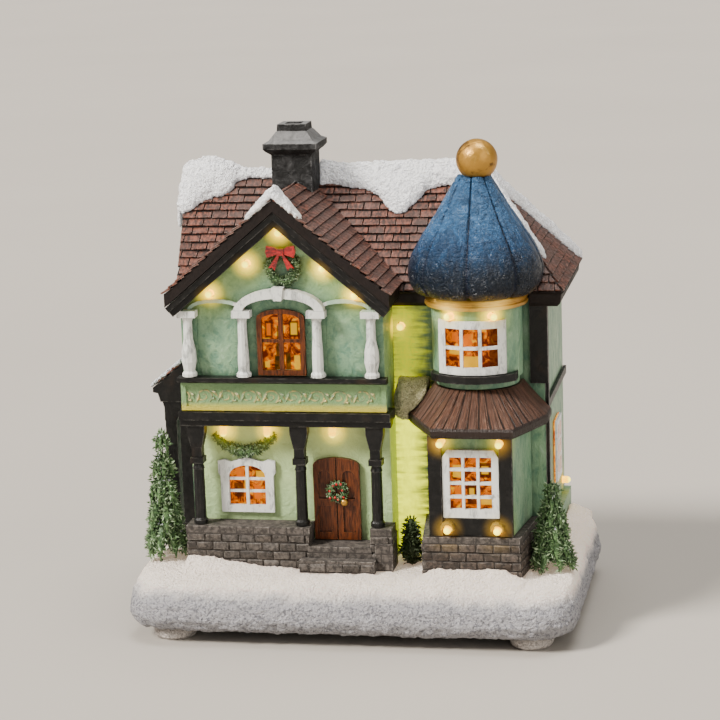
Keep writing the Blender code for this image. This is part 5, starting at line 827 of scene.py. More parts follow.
def tube_shape(shape, path, radii, sides=6):
    """Adds a tapering tube along a path of points to a bmesh."""
    rings = []
    for k, point in enumerate(path):
        before = Vector(path[max(k - 1, 0)])
        after = Vector(path[min(k + 1, len(path) - 1)])
        way = (after - before).normalized()
        side = way.cross(Vector((0, 0, 1))).normalized()
        over = way.cross(side)
        ring = []
        for j in range(sides):
            angle = 2 * math.pi * j / sides
            ring.append(
                shape.verts.new(Vector(point) + (side * math.cos(angle) + over * math.sin(angle)) * radii[k])
            )
        rings.append(ring)
    skin(shape, rings)
    shape.faces.new(rings[0][::-1])
    shape.faces.new(rings[-1])


def scroll_unit():
    """One turn of the frieze's running scroll, in its own plane, as a helper."""
    shape = bmesh.new()
    path, radii = [], []
    for k in range(22):
        t = k / 21
        angle = math.radians(-60.0 + 520.0 * t)
        reach = 3.0 * (1.0 - 0.80 * t)
        path.append((reach * math.cos(angle) * 1.25, reach * math.sin(angle), 0.0))
        radii.append(0.55 * (1.0 - 0.45 * t))
    tube_shape(shape, path, radii)
    for start, end in (
        ((-3.6, -2.2, 0), (-1.4, 1.8, 0)), ((3.4, 1.6, 0), (5.6, -1.8, 0)),
        ((2.6, -2.0, 0), (4.6, -2.6, 0)),
    ):
        middle = (Vector(start) + Vector(end)) / 2 + Vector((0.5, 0.6, 0.2))
        tube_shape(shape, [start, tuple(middle), end], [0.2, 0.75, 0.15], 5)
    shape.transform(Matrix.Scale(mm, 4))
    return new_object("scroll unit", mesh_of(shape, "scroll unit"))


frieze_face = on_slope((-69.0, frieze_front + 0.9, frieze_low + 0.2), (1, 0, 0), (0, 0, 1))
laid_rows(
    "frieze_scroll",
    [(frieze_face, {
        "Rows": 1, "Per Row": 9, "Pitch": 0.0092, "Rise": 0.0112, "Lift": 0.0, "Tilt": 0.0, "Turn": 0.25,
        "Left": 0.002, "Right": 0.0835, "Uneven": 0.0003,
    })],
    scroll_unit(), ochre,
)

# Black timber
# Bargeboards, ledge, beam, posts, sill and corner boards are cast and painted satin black. Their edges
# and raised grain are dry-brushed grey, and rubbed through to brown in a few places. Their hollows get
# painted shade, and near the lamps they are painted orange as lamp light.
timber, shader, place = new_paint("black timber", 0.38, shine=0.28)
grain_place = scaled_axes(place, (0.35, 1.0, 0.35))
grain = noise(grain_place, 900.0, 3.0, 0.6, 0.4)
colour = mixed(ranged(grain, 0.4, 0.8), (0.0025, 0.0025, 0.0025), (0.009, 0.008, 0.007))
colour = worn(colour, (0.17, 0.16, 0.145), 0.0007, 420.0, 0.5)
browned = ranged(noise(place, 70.0, 2.0), 0.58, 0.72, 0.0, 0.4)
colour = mixed(browned, colour, (0.034, 0.018, 0.009))
# Painted shade in the hollows, and painted orange lamp light near the lamps.
colour = shaded_in_hollows(colour, (0.002, 0.002, 0.002), 1.5, 0.8)
colour = lamp_lit(colour, (0.85, 0.50, 0.04), 8.0, 0.7)
finish(shader, colour, grain, 0.30, 0.5, 0.55, 0.0007)
dress(
    timber, "gable_bargeboards", "balcony_ledge", "porch_beam", "porch_column_left", "porch_column_middle",
    "porch_column_right", "side_porch", "bay_timbers", "tower_sill", "corner_post",
)

# White trim
# The balcony columns and arches and the window frames are cast and painted satin white, with painted grey
# shade in the hollows and along the brush lines, and painted lamp light near the lamps.
white, shader, place = new_paint("white trim", 0.40, shine=0.35)
strokes = grouped(place, brush_work, scale=330.0, stretch=(1.0, 1.0, 0.4))
# Painted shade: the brush lines are painted grey.
colour = mixed(ranged(strokes["Height"], 0.40, 0.70), (0.27, 0.28, 0.27), (0.70, 0.71, 0.67))
colour = mixed(ranged(strokes["Patches"], 0.5, 0.8, 0.0, 0.35), colour, (0.50, 0.51, 0.48))
column_top, middle_arch_half = 131.1, 18.6
side_arch = calc("ABSOLUTE", plus(split(place)["X"], -wing_x * mm))
side_arch = ranged(side_arch, middle_arch_half * mm, (middle_arch_half + 0.6) * mm)
over_columns = ranged(split(place)["Z"], column_top * mm, (column_top + 0.4) * mm)
colour = mixed(times(times(side_arch, over_columns), 0.8), colour, (0.30, 0.48, 0.33))
colour = shaded_in_hollows(colour, (0.20, 0.20, 0.18), 1.3, 0.6)
colour = lamp_lit(colour, (1.0, 0.84, 0.30), 10.0, 0.7)
feed(shader, "Base Color", colour)
feed(shader, "Roughness", ranged(strokes["Height"], 0.3, 0.9, 0.5, 0.33))
bumped(shader, strokes["Height"], 0.4, 0.0008)
dress(white, "balcony_arcade", "porch_window_frame", "tower_lower_frame", "tower_upper_frame")

# Brown joinery: the casement and the double door
# Cast panels with wood grain, painted chestnut brown over a dark ground, rubbed lighter along their
# edges and painted darker as shade in their hollows.
door_wood, shader, place = new_paint("brown joinery", 0.40, shine=0.3)
grain_place = scaled_axes(place, (1.0, 1.0, 0.12))
grain = noise(grain_place, 1500.0, 3.0, 0.6, 0.6)
colour = mixed(ranged(grain, 0.34, 0.62), (0.030, 0.007, 0.001), (0.115, 0.027, 0.005))
colour = worn(colour, (0.33, 0.12, 0.035), 0.0004, 900.0, 0.6)
colour = shaded_in_hollows(colour, (0.006, 0.002, 0.001), 1.0, 0.95)
finish(shader, colour, grain, 0.48, 0.3, 0.5, 0.0004)
dress(door_wood, "gable_casement", "front_door")

# Lit window films
# Thin translucent film behind each frame, printed with a plain warm room and glowing from the lamps
# behind it: orange walls, lighter lamp spots, darker furniture and, in the gable, a dark little fir.


def block_mask(spot, x0, x1, z0, z1):
    """1 inside a soft-edged rectangle, in metres, of the film's own plane."""
    soft = 0.0003
    inside = ranged(spot["X"], x0 - soft, x0 + soft)
    inside = times(inside, ranged(spot["X"], x1 - soft, x1 + soft, 1.0, 0.0))
    inside = times(inside, ranged(spot["Z"], z0 - soft, z0 + soft))
    return times(inside, ranged(spot["Z"], z1 - soft, z1 + soft, 1.0, 0.0))


def film_paint(name, seed, shapes):
    """Warm mottled colours with the given soft shapes: rectangle in mm and colour."""
    paint, shader, place = new_paint(name, 0.3, glow=1.0, shine=0.1)
    spot = split(place)
    moved = made("ShaderNodeMapping", {0: place, "Location": (seed * 0.37, 0.0, seed * 0.21)})
    blots = noise(moved, 280.0, 3.0, 0.6, 1.2)
    colour = mixed(ranged(blots, 0.40, 0.56), (0.11, 0.010, 0.0), (0.72, 0.14, 0.0))
    colour = mixed(ranged(blots, 0.57, 0.70), colour, (1.0, 0.48, 0.008))
    for x0, x1, z0, z1, tint in shapes:
        inside = block_mask(spot, x0 * mm, x1 * mm, z0 * mm, z1 * mm)
        colour = mixed(times(inside, 0.85), colour, tint)
    feed(shader, "Base Color", mixed(0.75, colour, (0.03, 0.008, 0.0)))
    feed(shader, "Emission Color", colour)
    return paint


yellow, orange = (1.0, 0.52, 0.008), (0.85, 0.16, 0.0)
brown, fir = (0.05, 0.008, 0.001), (0.008, 0.016, 0.001)
for node_name, paint_name, seed, shapes in (
    ("gable_window_film", "gable film", 1.0, (
        (-31.0, -27.6, 105.0, 112.0, fir), (-30.2, -28.0, 112.0, 117.0, fir),
        (-29.6, -28.6, 117.0, 124.0, fir), (-34.6, -31.4, 119.0, 126.0, brown),
        (-33.9, -32.1, 120.0, 125.0, orange), (-24.6, -20.8, 119.5, 126.0, brown),
        (-24.0, -21.4, 120.4, 125.2, yellow), (-23.0, -20.6, 106.5, 112.0, yellow),
        (-26.4, -24.4, 105.0, 113.0, fir), (-35.0, -33.0, 107.0, 109.5, yellow),
    )),
    ("porch_window_film", "porch film", 2.0, (
        (-52.0, -48.0, 51.0, 57.0, brown), (-47.6, -45.6, 53.0, 60.0, yellow),
        (-43.6, -40.6, 50.0, 56.0, orange), (-42.6, -39.0, 58.0, 62.0, yellow),
        (-50.8, -47.4, 59.0, 63.0, orange),
    )),
    ("tower_lower_film", "lower tower film", 3.0, (
        (41.5, 45.6, 55.0, 61.0, orange), (46.6, 50.2, 54.0, 63.0, brown),
        (47.4, 49.4, 57.0, 60.6, yellow), (51.4, 56.4, 65.0, 71.0, brown),
        (52.4, 55.2, 66.4, 69.6, yellow), (41.0, 45.0, 65.0, 70.0, yellow),
        (52.0, 56.4, 54.0, 57.0, yellow),
    )),
    ("tower_upper_film", "upper tower film", 4.0, (
        (55.6, 59.6, 107.0, 124.0, brown), (39.6, 44.0, 113.0, 116.0, yellow),
        (45.6, 52.0, 108.0, 112.5, yellow), (46.0, 49.0, 117.0, 121.5, orange),
        (51.0, 53.6, 116.0, 122.0, brown), (40.6, 43.4, 118.0, 122.0, orange),
    )),
):
    dress(film_paint(paint_name, seed, shapes), node_name)

# Side window
# A white frame with a lit film, cast as one piece and set in the right-hand wall. The paint tells the
# two apart by how far out they lie.
side_paint, shader, place = new_paint("side window paint", 0.4, glow=1.0)
spot = split(place)
frame_face = 75.88
out_far = ranged(spot["X"], (frame_face - 0.06) * mm, frame_face * mm)
strokes = grouped(place, brush_work, scale=330.0)
# Painted shade: the frame's brush grooves are painted grey.
frame_white = mixed(ranged(strokes["Height"], 0.4, 0.7), (0.5, 0.52, 0.55), (0.83, 0.84, 0.85))
blots = noise(place, 260.0, 3.0, 0.6, 1.2)
room = mixed(ranged(blots, 0.38, 0.55), (0.34, 0.055, 0.006), (0.90, 0.32, 0.015))
room = mixed(ranged(blots, 0.56, 0.72), room, (1.0, 0.62, 0.08))
feed(shader, "Base Color", mixed(out_far, room, frame_white))
feed(shader, "Emission Color", mixed(out_far, room, (0.0, 0.0, 0.0)))
dress(side_paint, "side_window")

# Foliage: wreaths, garland, fir trees and bush
# Cast greenery painted dark green. Small leaves and needle clumps stand all over it, dry-brushed lighter
# at their tips, painted darker as shade in their hollows, painted yellow and glowing as lamp light beside
# the lamps, and carrying snow on their upper sides.
leaf_green, shader, place = new_paint("dark green foliage", 0.5, glow=0.25, shine=0.3)
tone = stored(place, "tone")
mottle = noise(place, 900.0, 3.0)
colour = mixed(ranged(mottle, 0.35, 0.65), (0.034, 0.080, 0.028), (0.130, 0.230, 0.085))
colour = mixed(ranged(tone, 0.35, 1.0, 0.0, 0.7), colour, (0.42, 0.54, 0.33))
# Painted shade in the hollows, and painted yellow lamp light beside the lamps, which also glows.
colour = shaded_in_hollows(colour, (0.003, 0.010, 0.004), 1.2, 0.75)
glow = glow_near(place, 13.0)
colour = mixed(times(glow, 0.5), colour, (0.42, 0.46, 0.04))
bush_low, bush_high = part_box("bush")
bush_middle, bush_half = (bush_low[0] + bush_high[0]) / 2, (bush_high[0] - bush_low[0]) / 2 + 0.003
from_bush = calc("ABSOLUTE", minus(split(place)["X"], bush_middle))
colour = mixed(times(calc("LESS_THAN", from_bush, bush_half), 0.75), colour, (0.016, 0.020, 0.004))
feed(shader, "Base Color", colour)
feed(shader, "Emission Color", mixed(glow, (0.0, 0.0, 0.0), (0.30, 0.30, 0.01)))
feed_roughness(shader, mottle, 0.6, 0.4)
bumped(shader, mottle, 0.4, 0.0004)

# Leaves over a surface: each points out of it, leaning at random, and has its own tone
leaf_tree, given, out = new_shape_tree("leaves over a surface", [
    ("Leaf", "Object", None), ("Density", "Float", 500000.0), ("Size", "Float", 1.0),
    ("Lean", "Float", 0.8), ("Lowest Side", "Float", -2.0), ("Seed", "Int", 1),
    ("Paint", "Material", None),
])
t = leaf_tree
side_up = split(own_normal(t))[2]
facing = calc("GREATER_THAN", side_up, given["Lowest Side"])
spots = add("GeometryNodeDistributePointsOnFaces", {
    "Mesh": given["Geometry"], "Selection": facing, "Density": given["Density"], "Seed": given["Seed"],
})
lean_x = random_value(-1.0, 1.0, plus(given["Seed"], 1))
lean_y = random_value(-1.0, 1.0, plus(given["Seed"], 2))
spin = random_value(0.0, 6.28, plus(given["Seed"], 3))
leaning = join(times(lean_x, given["Lean"]), times(lean_y, given["Lean"]), spin)
aimed = made(
    "FunctionNodeRotateRotation", {0: spots.outputs["Rotation"], 1: leaning}, rotation_space="LOCAL"
)
size = random_value(0.7, 1.25, plus(given["Seed"], 4))
leaf_shape = add("GeometryNodeObjectInfo", {"Object": given["Leaf"]}).outputs["Geometry"]
leaves = add("GeometryNodeInstanceOnPoints", {
    0: spots.outputs["Points"], "Instance": leaf_shape, "Rotation": aimed,
    "Scale": times(size, given["Size"]),
})
tone = random_value(0.0, 1.0, plus(given["Seed"], 5))
close_tree(toned(leaves.outputs[0], tone), given["Paint"], out)


def leaf_unit(length_mm, width_mm, thick_mm):
    """A small pointed leaf that stands along Z, as a helper."""
    shape = bmesh.new()
    length, width, thick = length_mm * mm, width_mm * mm, thick_mm * mm
    foot = shape.verts.new((0, 0, 0))
    tip = shape.verts.new((width * 0.15, 0, length))
    belt = [shape.verts.new(point) for point in (
        (width / 2, 0, length * 0.45), (0, thick / 2, length * 0.4), (-width / 2, 0, length * 0.45),
        (0, -thick / 2, length * 0.4),
    )]
    for k in range(4):
        shape.faces.new((foot, belt[(k + 1) % 4], belt[k]))
        shape.faces.new((tip, belt[k], belt[(k + 1) % 4]))
    bmesh.ops.recalc_face_normals(shape, faces=shape.faces)
    return new_object("leaf unit", mesh_of(shape, "leaf unit"))


def snow_unit(width_mm):
    """A soft lump of snow, as a helper."""
    shape = bmesh.new()
    bmesh.ops.create_icosphere(shape, subdivisions=1, radius=width_mm * mm / 2)
    for number, vert in enumerate(shape.verts):
        vert.co *= 1.0 + 0.16 * math.sin(number * 2.9)
        vert.co.z *= 0.6
    return new_object("snow unit", mesh_of(shape, "snow unit"))


def covered(name, base, unit, paint, values, with_base=True, replaced=()):
    """A base shape with units spread over it, as one piece."""
    start = mesh_of(base, "start")
    mesh = grown(name, start, leaf_tree, {"Leaf": unit, "Paint": paint, **values})
    whole = bmesh.new()
    whole.from_mesh(mesh)
    if with_base:
        whole.from_mesh(start)
    bpy.data.objects.remove(unit)
    smooth_piece(name, whole, paint, 50.0, replaced)


def fir_shape(name, tiers, first_turn):
    """Boughs in tiers round a stem: each reaches out, droops and ends in a point, in the CAD tree's box."""
    low, high = (Vector(corner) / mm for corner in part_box(name))
    centre = (low + high) / 2
    reach_most = max(high.x - low.x, high.y - low.y) / 2
    tall = high.z - low.z
    shape = bmesh.new()
    tube_shape(shape, [(centre.x, centre.y, low.z), (centre.x, centre.y, high.z - 1.0)], [1.6, 0.4], 8)
    for tier in range(tiers):
        share = (tier + 0.6) / tiers
        reach = reach_most * (0.22 + 0.78 * share)
        top = high.z - tall * (0.84 * share - 0.02)
        drop = tall * (0.10 + 0.13 * share)
        boughs = 6 + tier
        for k in range(boughs):
            angle = 2 * math.pi * (k + 0.5 * (tier % 2)) / boughs + first_turn
            angle += 0.25 * math.sin(tier * 3.1 + k * 1.7)
            length = reach * (0.88 + 0.12 * math.sin(tier * 2.3 + k * 4.1))
            path = []
            for out_share, down_share in (
                (0.10, -0.15), (0.45, 0.0), (0.75, 0.30), (0.95, 0.72), (1.0, 1.05)
            ):
                spot = (
                    min(max(centre.x + length * out_share * math.cos(angle), low.x), high.x),
                    min(max(centre.y + length * out_share * math.sin(angle), low.y), high.y),
                    max(top - drop * down_share, low.z + 0.4),
                )
                path.append(spot)
            width = 0.55 + 1.35 * share
            tube_shape(shape, path, [width * 0.6, width, width, width * 0.7, 0.15], 6)
    shape.transform(Matrix.Scale(mm, 4))
    bmesh.ops.recalc_face_normals(shape, faces=shape.faces)
    return shape


for seed, (name, density, length, lean) in enumerate((
    ("gable_wreath", 2600000.0, 1.5, 0.9), ("window_garland", 2200000.0, 1.5, 0.9),
    ("bush", 1100000.0, 2.4, 0.8),
)):
    covered(
        name + "_leaves", merged_copy(name), leaf_unit(length, length * 0.42, length * 0.22), leaf_green,
        {"Density": density, "Lean": lean, "Seed": seed * 13 + 2}, replaced=[name],
    )
tree_snow = snow_paint("snow on the boughs", (0.90, 0.91, 0.94), (0.66, 0.70, 0.76))
for seed, (name, tiers, snow_density) in enumerate((("tree_left", 5, 620000.0), ("tree_right", 6, 60000.0))):
    covered(
        name + "_boughs", fir_shape(name, tiers, 0.4 + seed), leaf_unit(2.3, 0.85, 0.45), leaf_green,
        {"Density": 900000.0, "Lean": 1.25, "Seed": seed * 13 + 41}, replaced=[name],
    )
    covered(name + "_snow", fir_shape(name, tiers, 0.4 + seed), snow_unit(1.5), tree_snow,
            {"Density": snow_density, "Lean": 0.3, "Lowest Side": 0.55, "Seed": 71 + seed}, with_base=False)

# Small wreath and knob on the door
# A ring of green leaves with painted red berries, and a turned brass knob beside it, both cast with the
# door.
wreath_x, wreath_z, door_face = -7.8, 55.7, -28.6
ring_shape = bmesh.new()
ring_path = []
for k in range(19):
    angle = 2 * math.pi * k / 18
    ring_path.append((wreath_x + 3.1 * math.sin(angle), door_face - 0.9, wreath_z + 3.1 * math.cos(angle)))
for start, end in zip(ring_path, ring_path[1:]):
    tube_shape(ring_shape, [start, end], [1.0, 1.0], 6)
ring_shape.transform(Matrix.Scale(mm, 4))
covered(
    "door_wreath", ring_shape, leaf_unit(1.3, 0.6, 0.3), leaf_green,
    {"Density": 1500000.0, "Seed": 31}
)
berry_red, shader, place = new_paint("red berries", 0.25, coat=0.5)
feed(shader, "Base Color", mixed(noise(place, 900.0), (0.30, 0.005, 0.006), (0.60, 0.02, 0.015)))
berries = bmesh.new()
for k in range(9):
    angle = 2 * math.pi * (k + 0.3 * math.sin(k * 5.0)) / 9
    reach = 3.1 + 0.7 * math.sin(k * 2.3)
    spot = Vector(
        (wreath_x + reach * math.sin(angle), door_face - 2.0, wreath_z + reach * math.cos(angle))
    ) * mm
    bmesh.ops.create_uvsphere(
        berries, u_segments=10, v_segments=6, radius=0.55 * mm,
        matrix=Matrix.Translation(spot) @ Matrix.Diagonal((1, 0.8, 1, 1))
    )
mesh = mesh_of(berries, "door berries")
mesh.shade_smooth()
mesh.materials.append(berry_red)
house_piece("door_berries", mesh)


def turned_mesh(name, profile, steps, centre, direction):
    """A smooth turned mesh from radii and heights in mm, which run from a centre along a direction."""
    shape = bmesh.new()
    rings = []
    for radius, height in profile:
        ring = []
        for k in range(steps):
            angle = 2 * math.pi * k / steps
            ring.append(shape.verts.new((radius * math.cos(angle), radius * math.sin(angle), height)))
        rings.append(ring)
    skin(shape, rings)
    closed_ring = profile[0] == profile[-1]
    if closed_ring:
        bmesh.ops.remove_doubles(shape, verts=rings[0] + rings[-1], dist=0.0001)
    else:
        shape.faces.new(rings[0][::-1])
        shape.faces.new(rings[-1])
    turn = Vector((0, 0, 1)).rotation_difference(Vector(direction)).to_matrix().to_4x4()
    shape.transform(Matrix.Scale(mm, 4) @ Matrix.Translation(Vector(centre)) @ turn)
    mesh = mesh_of(shape, name)
    mesh.shade_smooth()
    mesh.set_sharp_from_angle(angle=math.radians(45.0))
    return mesh


def painted_piece(name, mesh, paint, slot_name, *replaced):
    mesh.materials.clear()
    mesh.materials.append(paint)
    house_piece(name, mesh, replaced)


gold, shader, place = new_paint("worn gold", 0.33, metallic=0.6, glow=1.8)
blotches = noise(place, 120.0, 4.0, 0.6, 0.8)
colour = mixed(ranged(blotches, 0.30, 0.48), (0.060, 0.024, 0.004), (0.42, 0.215, 0.030))
colour = mixed(ranged(blotches, 0.56, 0.74), colour, (0.66, 0.39, 0.085))
# Painted lamp light: the gold is painted paler yellow and glows near the lamps.
glow = glow_near(place, 13.0)
colour = mixed(glow, colour, (1.0, 0.80, 0.25))
feed(shader, "Base Color", colour)
feed(shader, "Emission Color", mixed(glow, (0.0, 0.0, 0.0), (0.75, 0.42, 0.04)))
feed(shader, "Roughness", ranged(blotches, 0.35, 0.7, 0.5, 0.26))
bumped(shader, noise(place, 420.0, 4.0), 0.45, 0.0006)
knob_profile = [(0.55, 0.0), (0.6, 1.5), (1.25, 2.0), (1.45, 2.6), (1.3, 3.2), (0.8, 3.55), (0.2, 3.65)]
knob_mesh = turned_mesh("door_knob", knob_profile, 20, (-4.8, -27.8, 51.3), (0, -1, 0))
painted_piece("door_knob", knob_mesh, gold, "gold")

# Red bow on the gable's wreath
# Cast ribbon, painted glossy red with painted shade in its folds and hollows. It is stuck to the top of the
# wreath in the gable.
ribbon, shader, place = new_paint("red ribbon", 0.28, coat=0.5)
folds = noise(scaled_axes(place, (0.5, 1.0, 1.3)), 500.0, 2.0, 0.5, 1.0)
# Painted shade: the ribbon is painted dark red where its folds sink.
colour = mixed(ranged(folds, 0.35, 0.62), (0.08, 0.001, 0.001), (0.40, 0.003, 0.004))
colour = worn(colour, (0.75, 0.04, 0.02), 0.0005, 500.0, 0.25)
feed(shader, "Base Color", shaded_in_hollows(colour, (0.02, 0.0, 0.0), 1.6, 0.85))
bumped(shader, folds, 0.6, 0.0008)
dress(ribbon, "gable_bow")

# Stonework of the porch and the tower plinth
# Cast stone blocks in running bond, grey and dry-brushed lighter, with dark joints, painted shade in their
# hollows and painted lamp light near the lamps. They face the porch plinth, the short right-hand plinth,
# the riser of the step and the three sides under the tower.


def facing_up(place):
    """How far a face looks up: 1 on top, 0 on a wall."""
    return split(place.id_data.nodes.new("ShaderNodeNewGeometry").outputs["Normal"])["Z"]


def stone_paint(name, light, dark):
    """Stone paint: each block has its own tone, speckles, dark pits, lighter worn edges, painted shade in its
    hollows and painted lamp light near the lamps.
    """
    paint, shader, place = new_paint(name, 0.7)
    tone = stored(place, "tone")
    speckle = noise(place, 700.0, 4.0, 0.65)
    colour = mixed(ranged(speckle, 0.35, 0.68), dark, light)
    colour = mixed(ranged(tone, 0.3, 1.0, 0.0, 0.5), colour, dark)
    colour = worn(colour, (0.42, 0.38, 0.34), 0.0005, 600.0, 0.5)
    colour = shaded_in_hollows(colour, (0.012, 0.009, 0.007), 1.0, 0.9)
    colour = lamp_lit(colour, (0.50, 0.34, 0.10), 13.0, 0.45)
    finish(shader, colour, speckle, 0.8, 0.6, 0.6, 0.0006)
    return paint


grey_stone = stone_paint("grey stone", (0.092, 0.076, 0.063), (0.020, 0.016, 0.013))
warm_stone = stone_paint("warm stone", (0.078, 0.054, 0.039), (0.016, 0.011, 0.008))
joint_grey, shader, place = new_paint("mortar shadow", 0.85)
joint = mixed(noise(place, 600.0), (0.010, 0.008, 0.007), (0.045, 0.036, 0.030))
slab = mixed(ranged(noise(place, 500.0, 4.0, 0.65), 0.35, 0.68), (0.022, 0.018, 0.015), (0.100, 0.084, 0.072))
slab = worn(slab, (0.42, 0.38, 0.34), 0.0006, 500.0, 0.6)
up_share = facing_up(place)
where = split(place)
along_wall = plus(where["X"], where["Y"])
stone_foot, porch_face = 25.4, -37.7
course_level = minus(where["Z"], stone_foot * mm)
brick_place = join(along_wall, course_level)
bricks = add("ShaderNodeTexBrick", {
    "Vector": brick_place, "Scale": 1.0, "Mortar Size": 0.0003, "Mortar Smooth": 0.3, "Brick Width": 0.0069,
    "Row Height": 0.00355,
}).outputs["Fac"]
in_joint = times(bricks, ranged(up_share, 0.3, 0.6, 1.0, 0.0))
joint_colour = shaded_in_hollows(mixed(in_joint, slab, joint), (0.010, 0.008, 0.006), 1.5, 0.8)
feed(shader, "Base Color", joint_colour)
bumped(shader, noise(place, 800.0), 0.5, 0.0005)
dress(joint_grey, "porch_stonework", "tower_plinth")

stone_rows = {
    "Rows": 4, "Rise": 3.55 * mm, "Pitch": 6.9 * mm, "Lift": 0.1 * mm, "Tilt": 0.0, "Turn": 0.012,
    "Uneven": 0.0009,
}


def stone_face(corner, along, per_row, length, **others):
    """One face of stonework from its lower left corner: its slope and the values of its rows."""
    values = {**stone_rows, "Per Row": per_row, "Left": 0.0, "Right": length, **others}
    return on_slope(corner, along, (0, 0, 1)), values


slopes = [
    stone_face((-68.6, porch_face, stone_foot), (1, 0, 0), 9, 0.0502),
    stone_face((6.7, porch_face, stone_foot), (1, 0, 0), 3, 0.0087),
    stone_face((-68.6, -27.0, stone_foot), (0, -1, 0), 3, 0.0105),
    stone_face((15.4, porch_face, stone_foot), (0, 1, 0), 3, 0.0105),
    stone_face((-21.4, -42.9, stone_foot), (1, 0, 0), 6, 0.0303, Rows=1, Rise=4.1 * mm),
]
laid_rows("porch_stones", slopes, one_piece(6.5, 3.15, 0.8, 0.38), grey_stone)

plinth_left, plinth_right, plinth_front, plinth_back = 29.4, 67.9, -46.1, -12.8
plinth_flare = 3.8
plinth_deep = plinth_back - plinth_front
flare_length = math.hypot(plinth_flare, plinth_deep) * mm
flared_left = plinth_left - plinth_flare
slopes = [
    stone_face((plinth_left, plinth_front, stone_foot), (1, 0, 0), 7, (plinth_right - plinth_left) * mm),
    stone_face((plinth_right, plinth_front, stone_foot), (plinth_flare, plinth_deep, 0), 6, flare_length),
    stone_face((flared_left, plinth_back, stone_foot), (plinth_flare, -plinth_deep, 0), 6, flare_length),
]
laid_rows("tower_stones", slopes, one_piece(6.5, 3.15, 0.8, 0.38), warm_stone)

# Chimney
# Cast rough stone, painted black and dry-brushed grey at its edges, lighter on top of its caps. It stands
# on the main roof.
chimney_grey, shader, place = new_paint("chimney stone", 0.7, shine=0.25)
pits = noise(place, 300.0, 4.0, 0.65, 0.5)
colour = mixed(ranged(pits, 0.42, 0.72), (0.010, 0.010, 0.010), (0.040, 0.040, 0.041))
colour = worn(colour, (0.40, 0.40, 0.40), 0.0009, 380.0, 0.5)
up_share = facing_up(place)
colour = mixed(
    ranged(up_share, 0.15, 0.6, 0.0, 0.75), colour, mixed(pits, (0.06, 0.06, 0.06), (0.30, 0.30, 0.30))
)
feed(shader, "Base Color", colour)
bumped(shader, pits, 0.9, 0.0016)
dress(chimney_grey, "chimney")

# Side porch roof
# A short tiled slope leans on the left-hand wall over the side door, its tiles under loose snow.
side_reach, side_rise, side_length = 15.7, 12.5, 28.0
side_run = math.hypot(side_reach, side_rise) * mm
side_slope = on_slope((-88.0, 17.5, 93.5), (0, -1, 0), (side_reach, 0, side_rise))
laid_rows(
    "side_porch_tiles",
    [(side_slope, {
        "Rows": 5, "Per Row": 6, "Pitch": 6.2 * mm, "Rise": side_run / 5.2, "Lift": 0.5 * mm, "Tilt": -0.15,
        "Turn": 0.02, "Left": 0.0, "Right": side_length * mm, "Uneven": 0.0003,
    })],
    one_piece(5.9, 4.2, 0.7, 0.15), red_tiles,
)
loose_snow = snow_paint("loose snow", (0.88, 0.89, 0.92), (0.66, 0.68, 0.74))
patch = bmesh.new()
grid = [
    [patch.verts.new((side_length * mm * i / 8, side_run * j / 5, 1.0 * mm)) for i in range(9)]
    for j in range(6)
]
for j in range(5):
    for i in range(8):
        if math.sin(i * 2.1 + j * 1.3) > -0.35:
            patch.faces.new((grid[j][i], grid[j][i + 1], grid[j + 1][i + 1], grid[j + 1][i]))
patch.transform(side_slope)
covered(
    "side_porch_snow", patch, snow_unit(2.6), loose_snow,
    {"Density": 900000.0, "Lean": 0.25, "Seed": 47}, with_base=False
)

# Plank roof over the bay
# The bay's lead-in roof is made of tapering boards, painted brown, with dark gaps, lighter worn grain,
# painted shade in its hollows and a plain board along the foot of each face.
tower_x, tower_y, fascia_top = 49.0, -18.5, 87.4


def round_tower(spot):
    """How far a spot is from the tower's middle in X and Y, and its angle round the tower."""
    out_x = minus(spot["X"], tower_x * mm)
    out_y = minus(spot["Y"], tower_y * mm)
    return out_x, out_y, calc("ARCTAN2", out_x, times(out_y, -1.0))


def from_half(value):
    """How far a value's fraction is from a half."""
    return calc("ABSOLUTE", minus(calc("FRACT", value), 0.5))


planks, shader, place = new_paint("brown planks", 0.5, shine=0.3)
spot = split(place)
out_x, out_y, angle = round_tower(spot)
away = calc("SQRT", plus(times(out_x, out_x), times(out_y, out_y)))
fan = join(times(angle, 22.0), times(away, 40.0))
grain = noise(fan, 3.2, 4.0, 0.65, 0.6)
colour = mixed(ranged(grain, 0.36, 0.66), (0.023, 0.008, 0.004), (0.130, 0.056, 0.032))
colour = worn(colour, (0.36, 0.26, 0.21), 0.0006, 500.0, 0.6)
streak = ranged(noise(fan, 7.0, 2.0), 0.56, 0.72, 0.0, 0.55)
colour = mixed(streak, colour, (0.30, 0.20, 0.15))
boards_round = 46.0
board = calc("DIVIDE", times(angle, boards_round), 2 * math.pi)
board = plus(board, times(minus(noise(fan, 1.4, 1.0), 0.5), 0.35))
board_noise = add("ShaderNodeTexWhiteNoise", {"W": calc("FLOOR", board)}, noise_dimensions="1D")
board_tone = board_noise.outputs["Value"]
gap = ranged(from_half(board), 0.40, 0.475)
over_fascia = ranged(spot["Z"], fascia_top * mm, (fascia_top + 0.6) * mm)
gap = times(gap, over_fascia)
colour = mixed(times(board_tone, 0.5), colour, (0.060, 0.026, 0.015))
colour = mixed(gap, colour, (0.005, 0.003, 0.002))
colour = mixed(over_fascia, (0.018, 0.010, 0.007), colour)
colour = shaded_in_hollows(colour, (0.008, 0.004, 0.002), 1.6, 0.95)
feed(shader, "Base Color", colour)
feed_roughness(shader, grain, 0.58, 0.4)
relief = minus(times(grain, 0.4), times(gap, 0.8))
bumped(shader, relief, 1.0, 0.0012)
dress(planks, "tower_awning")

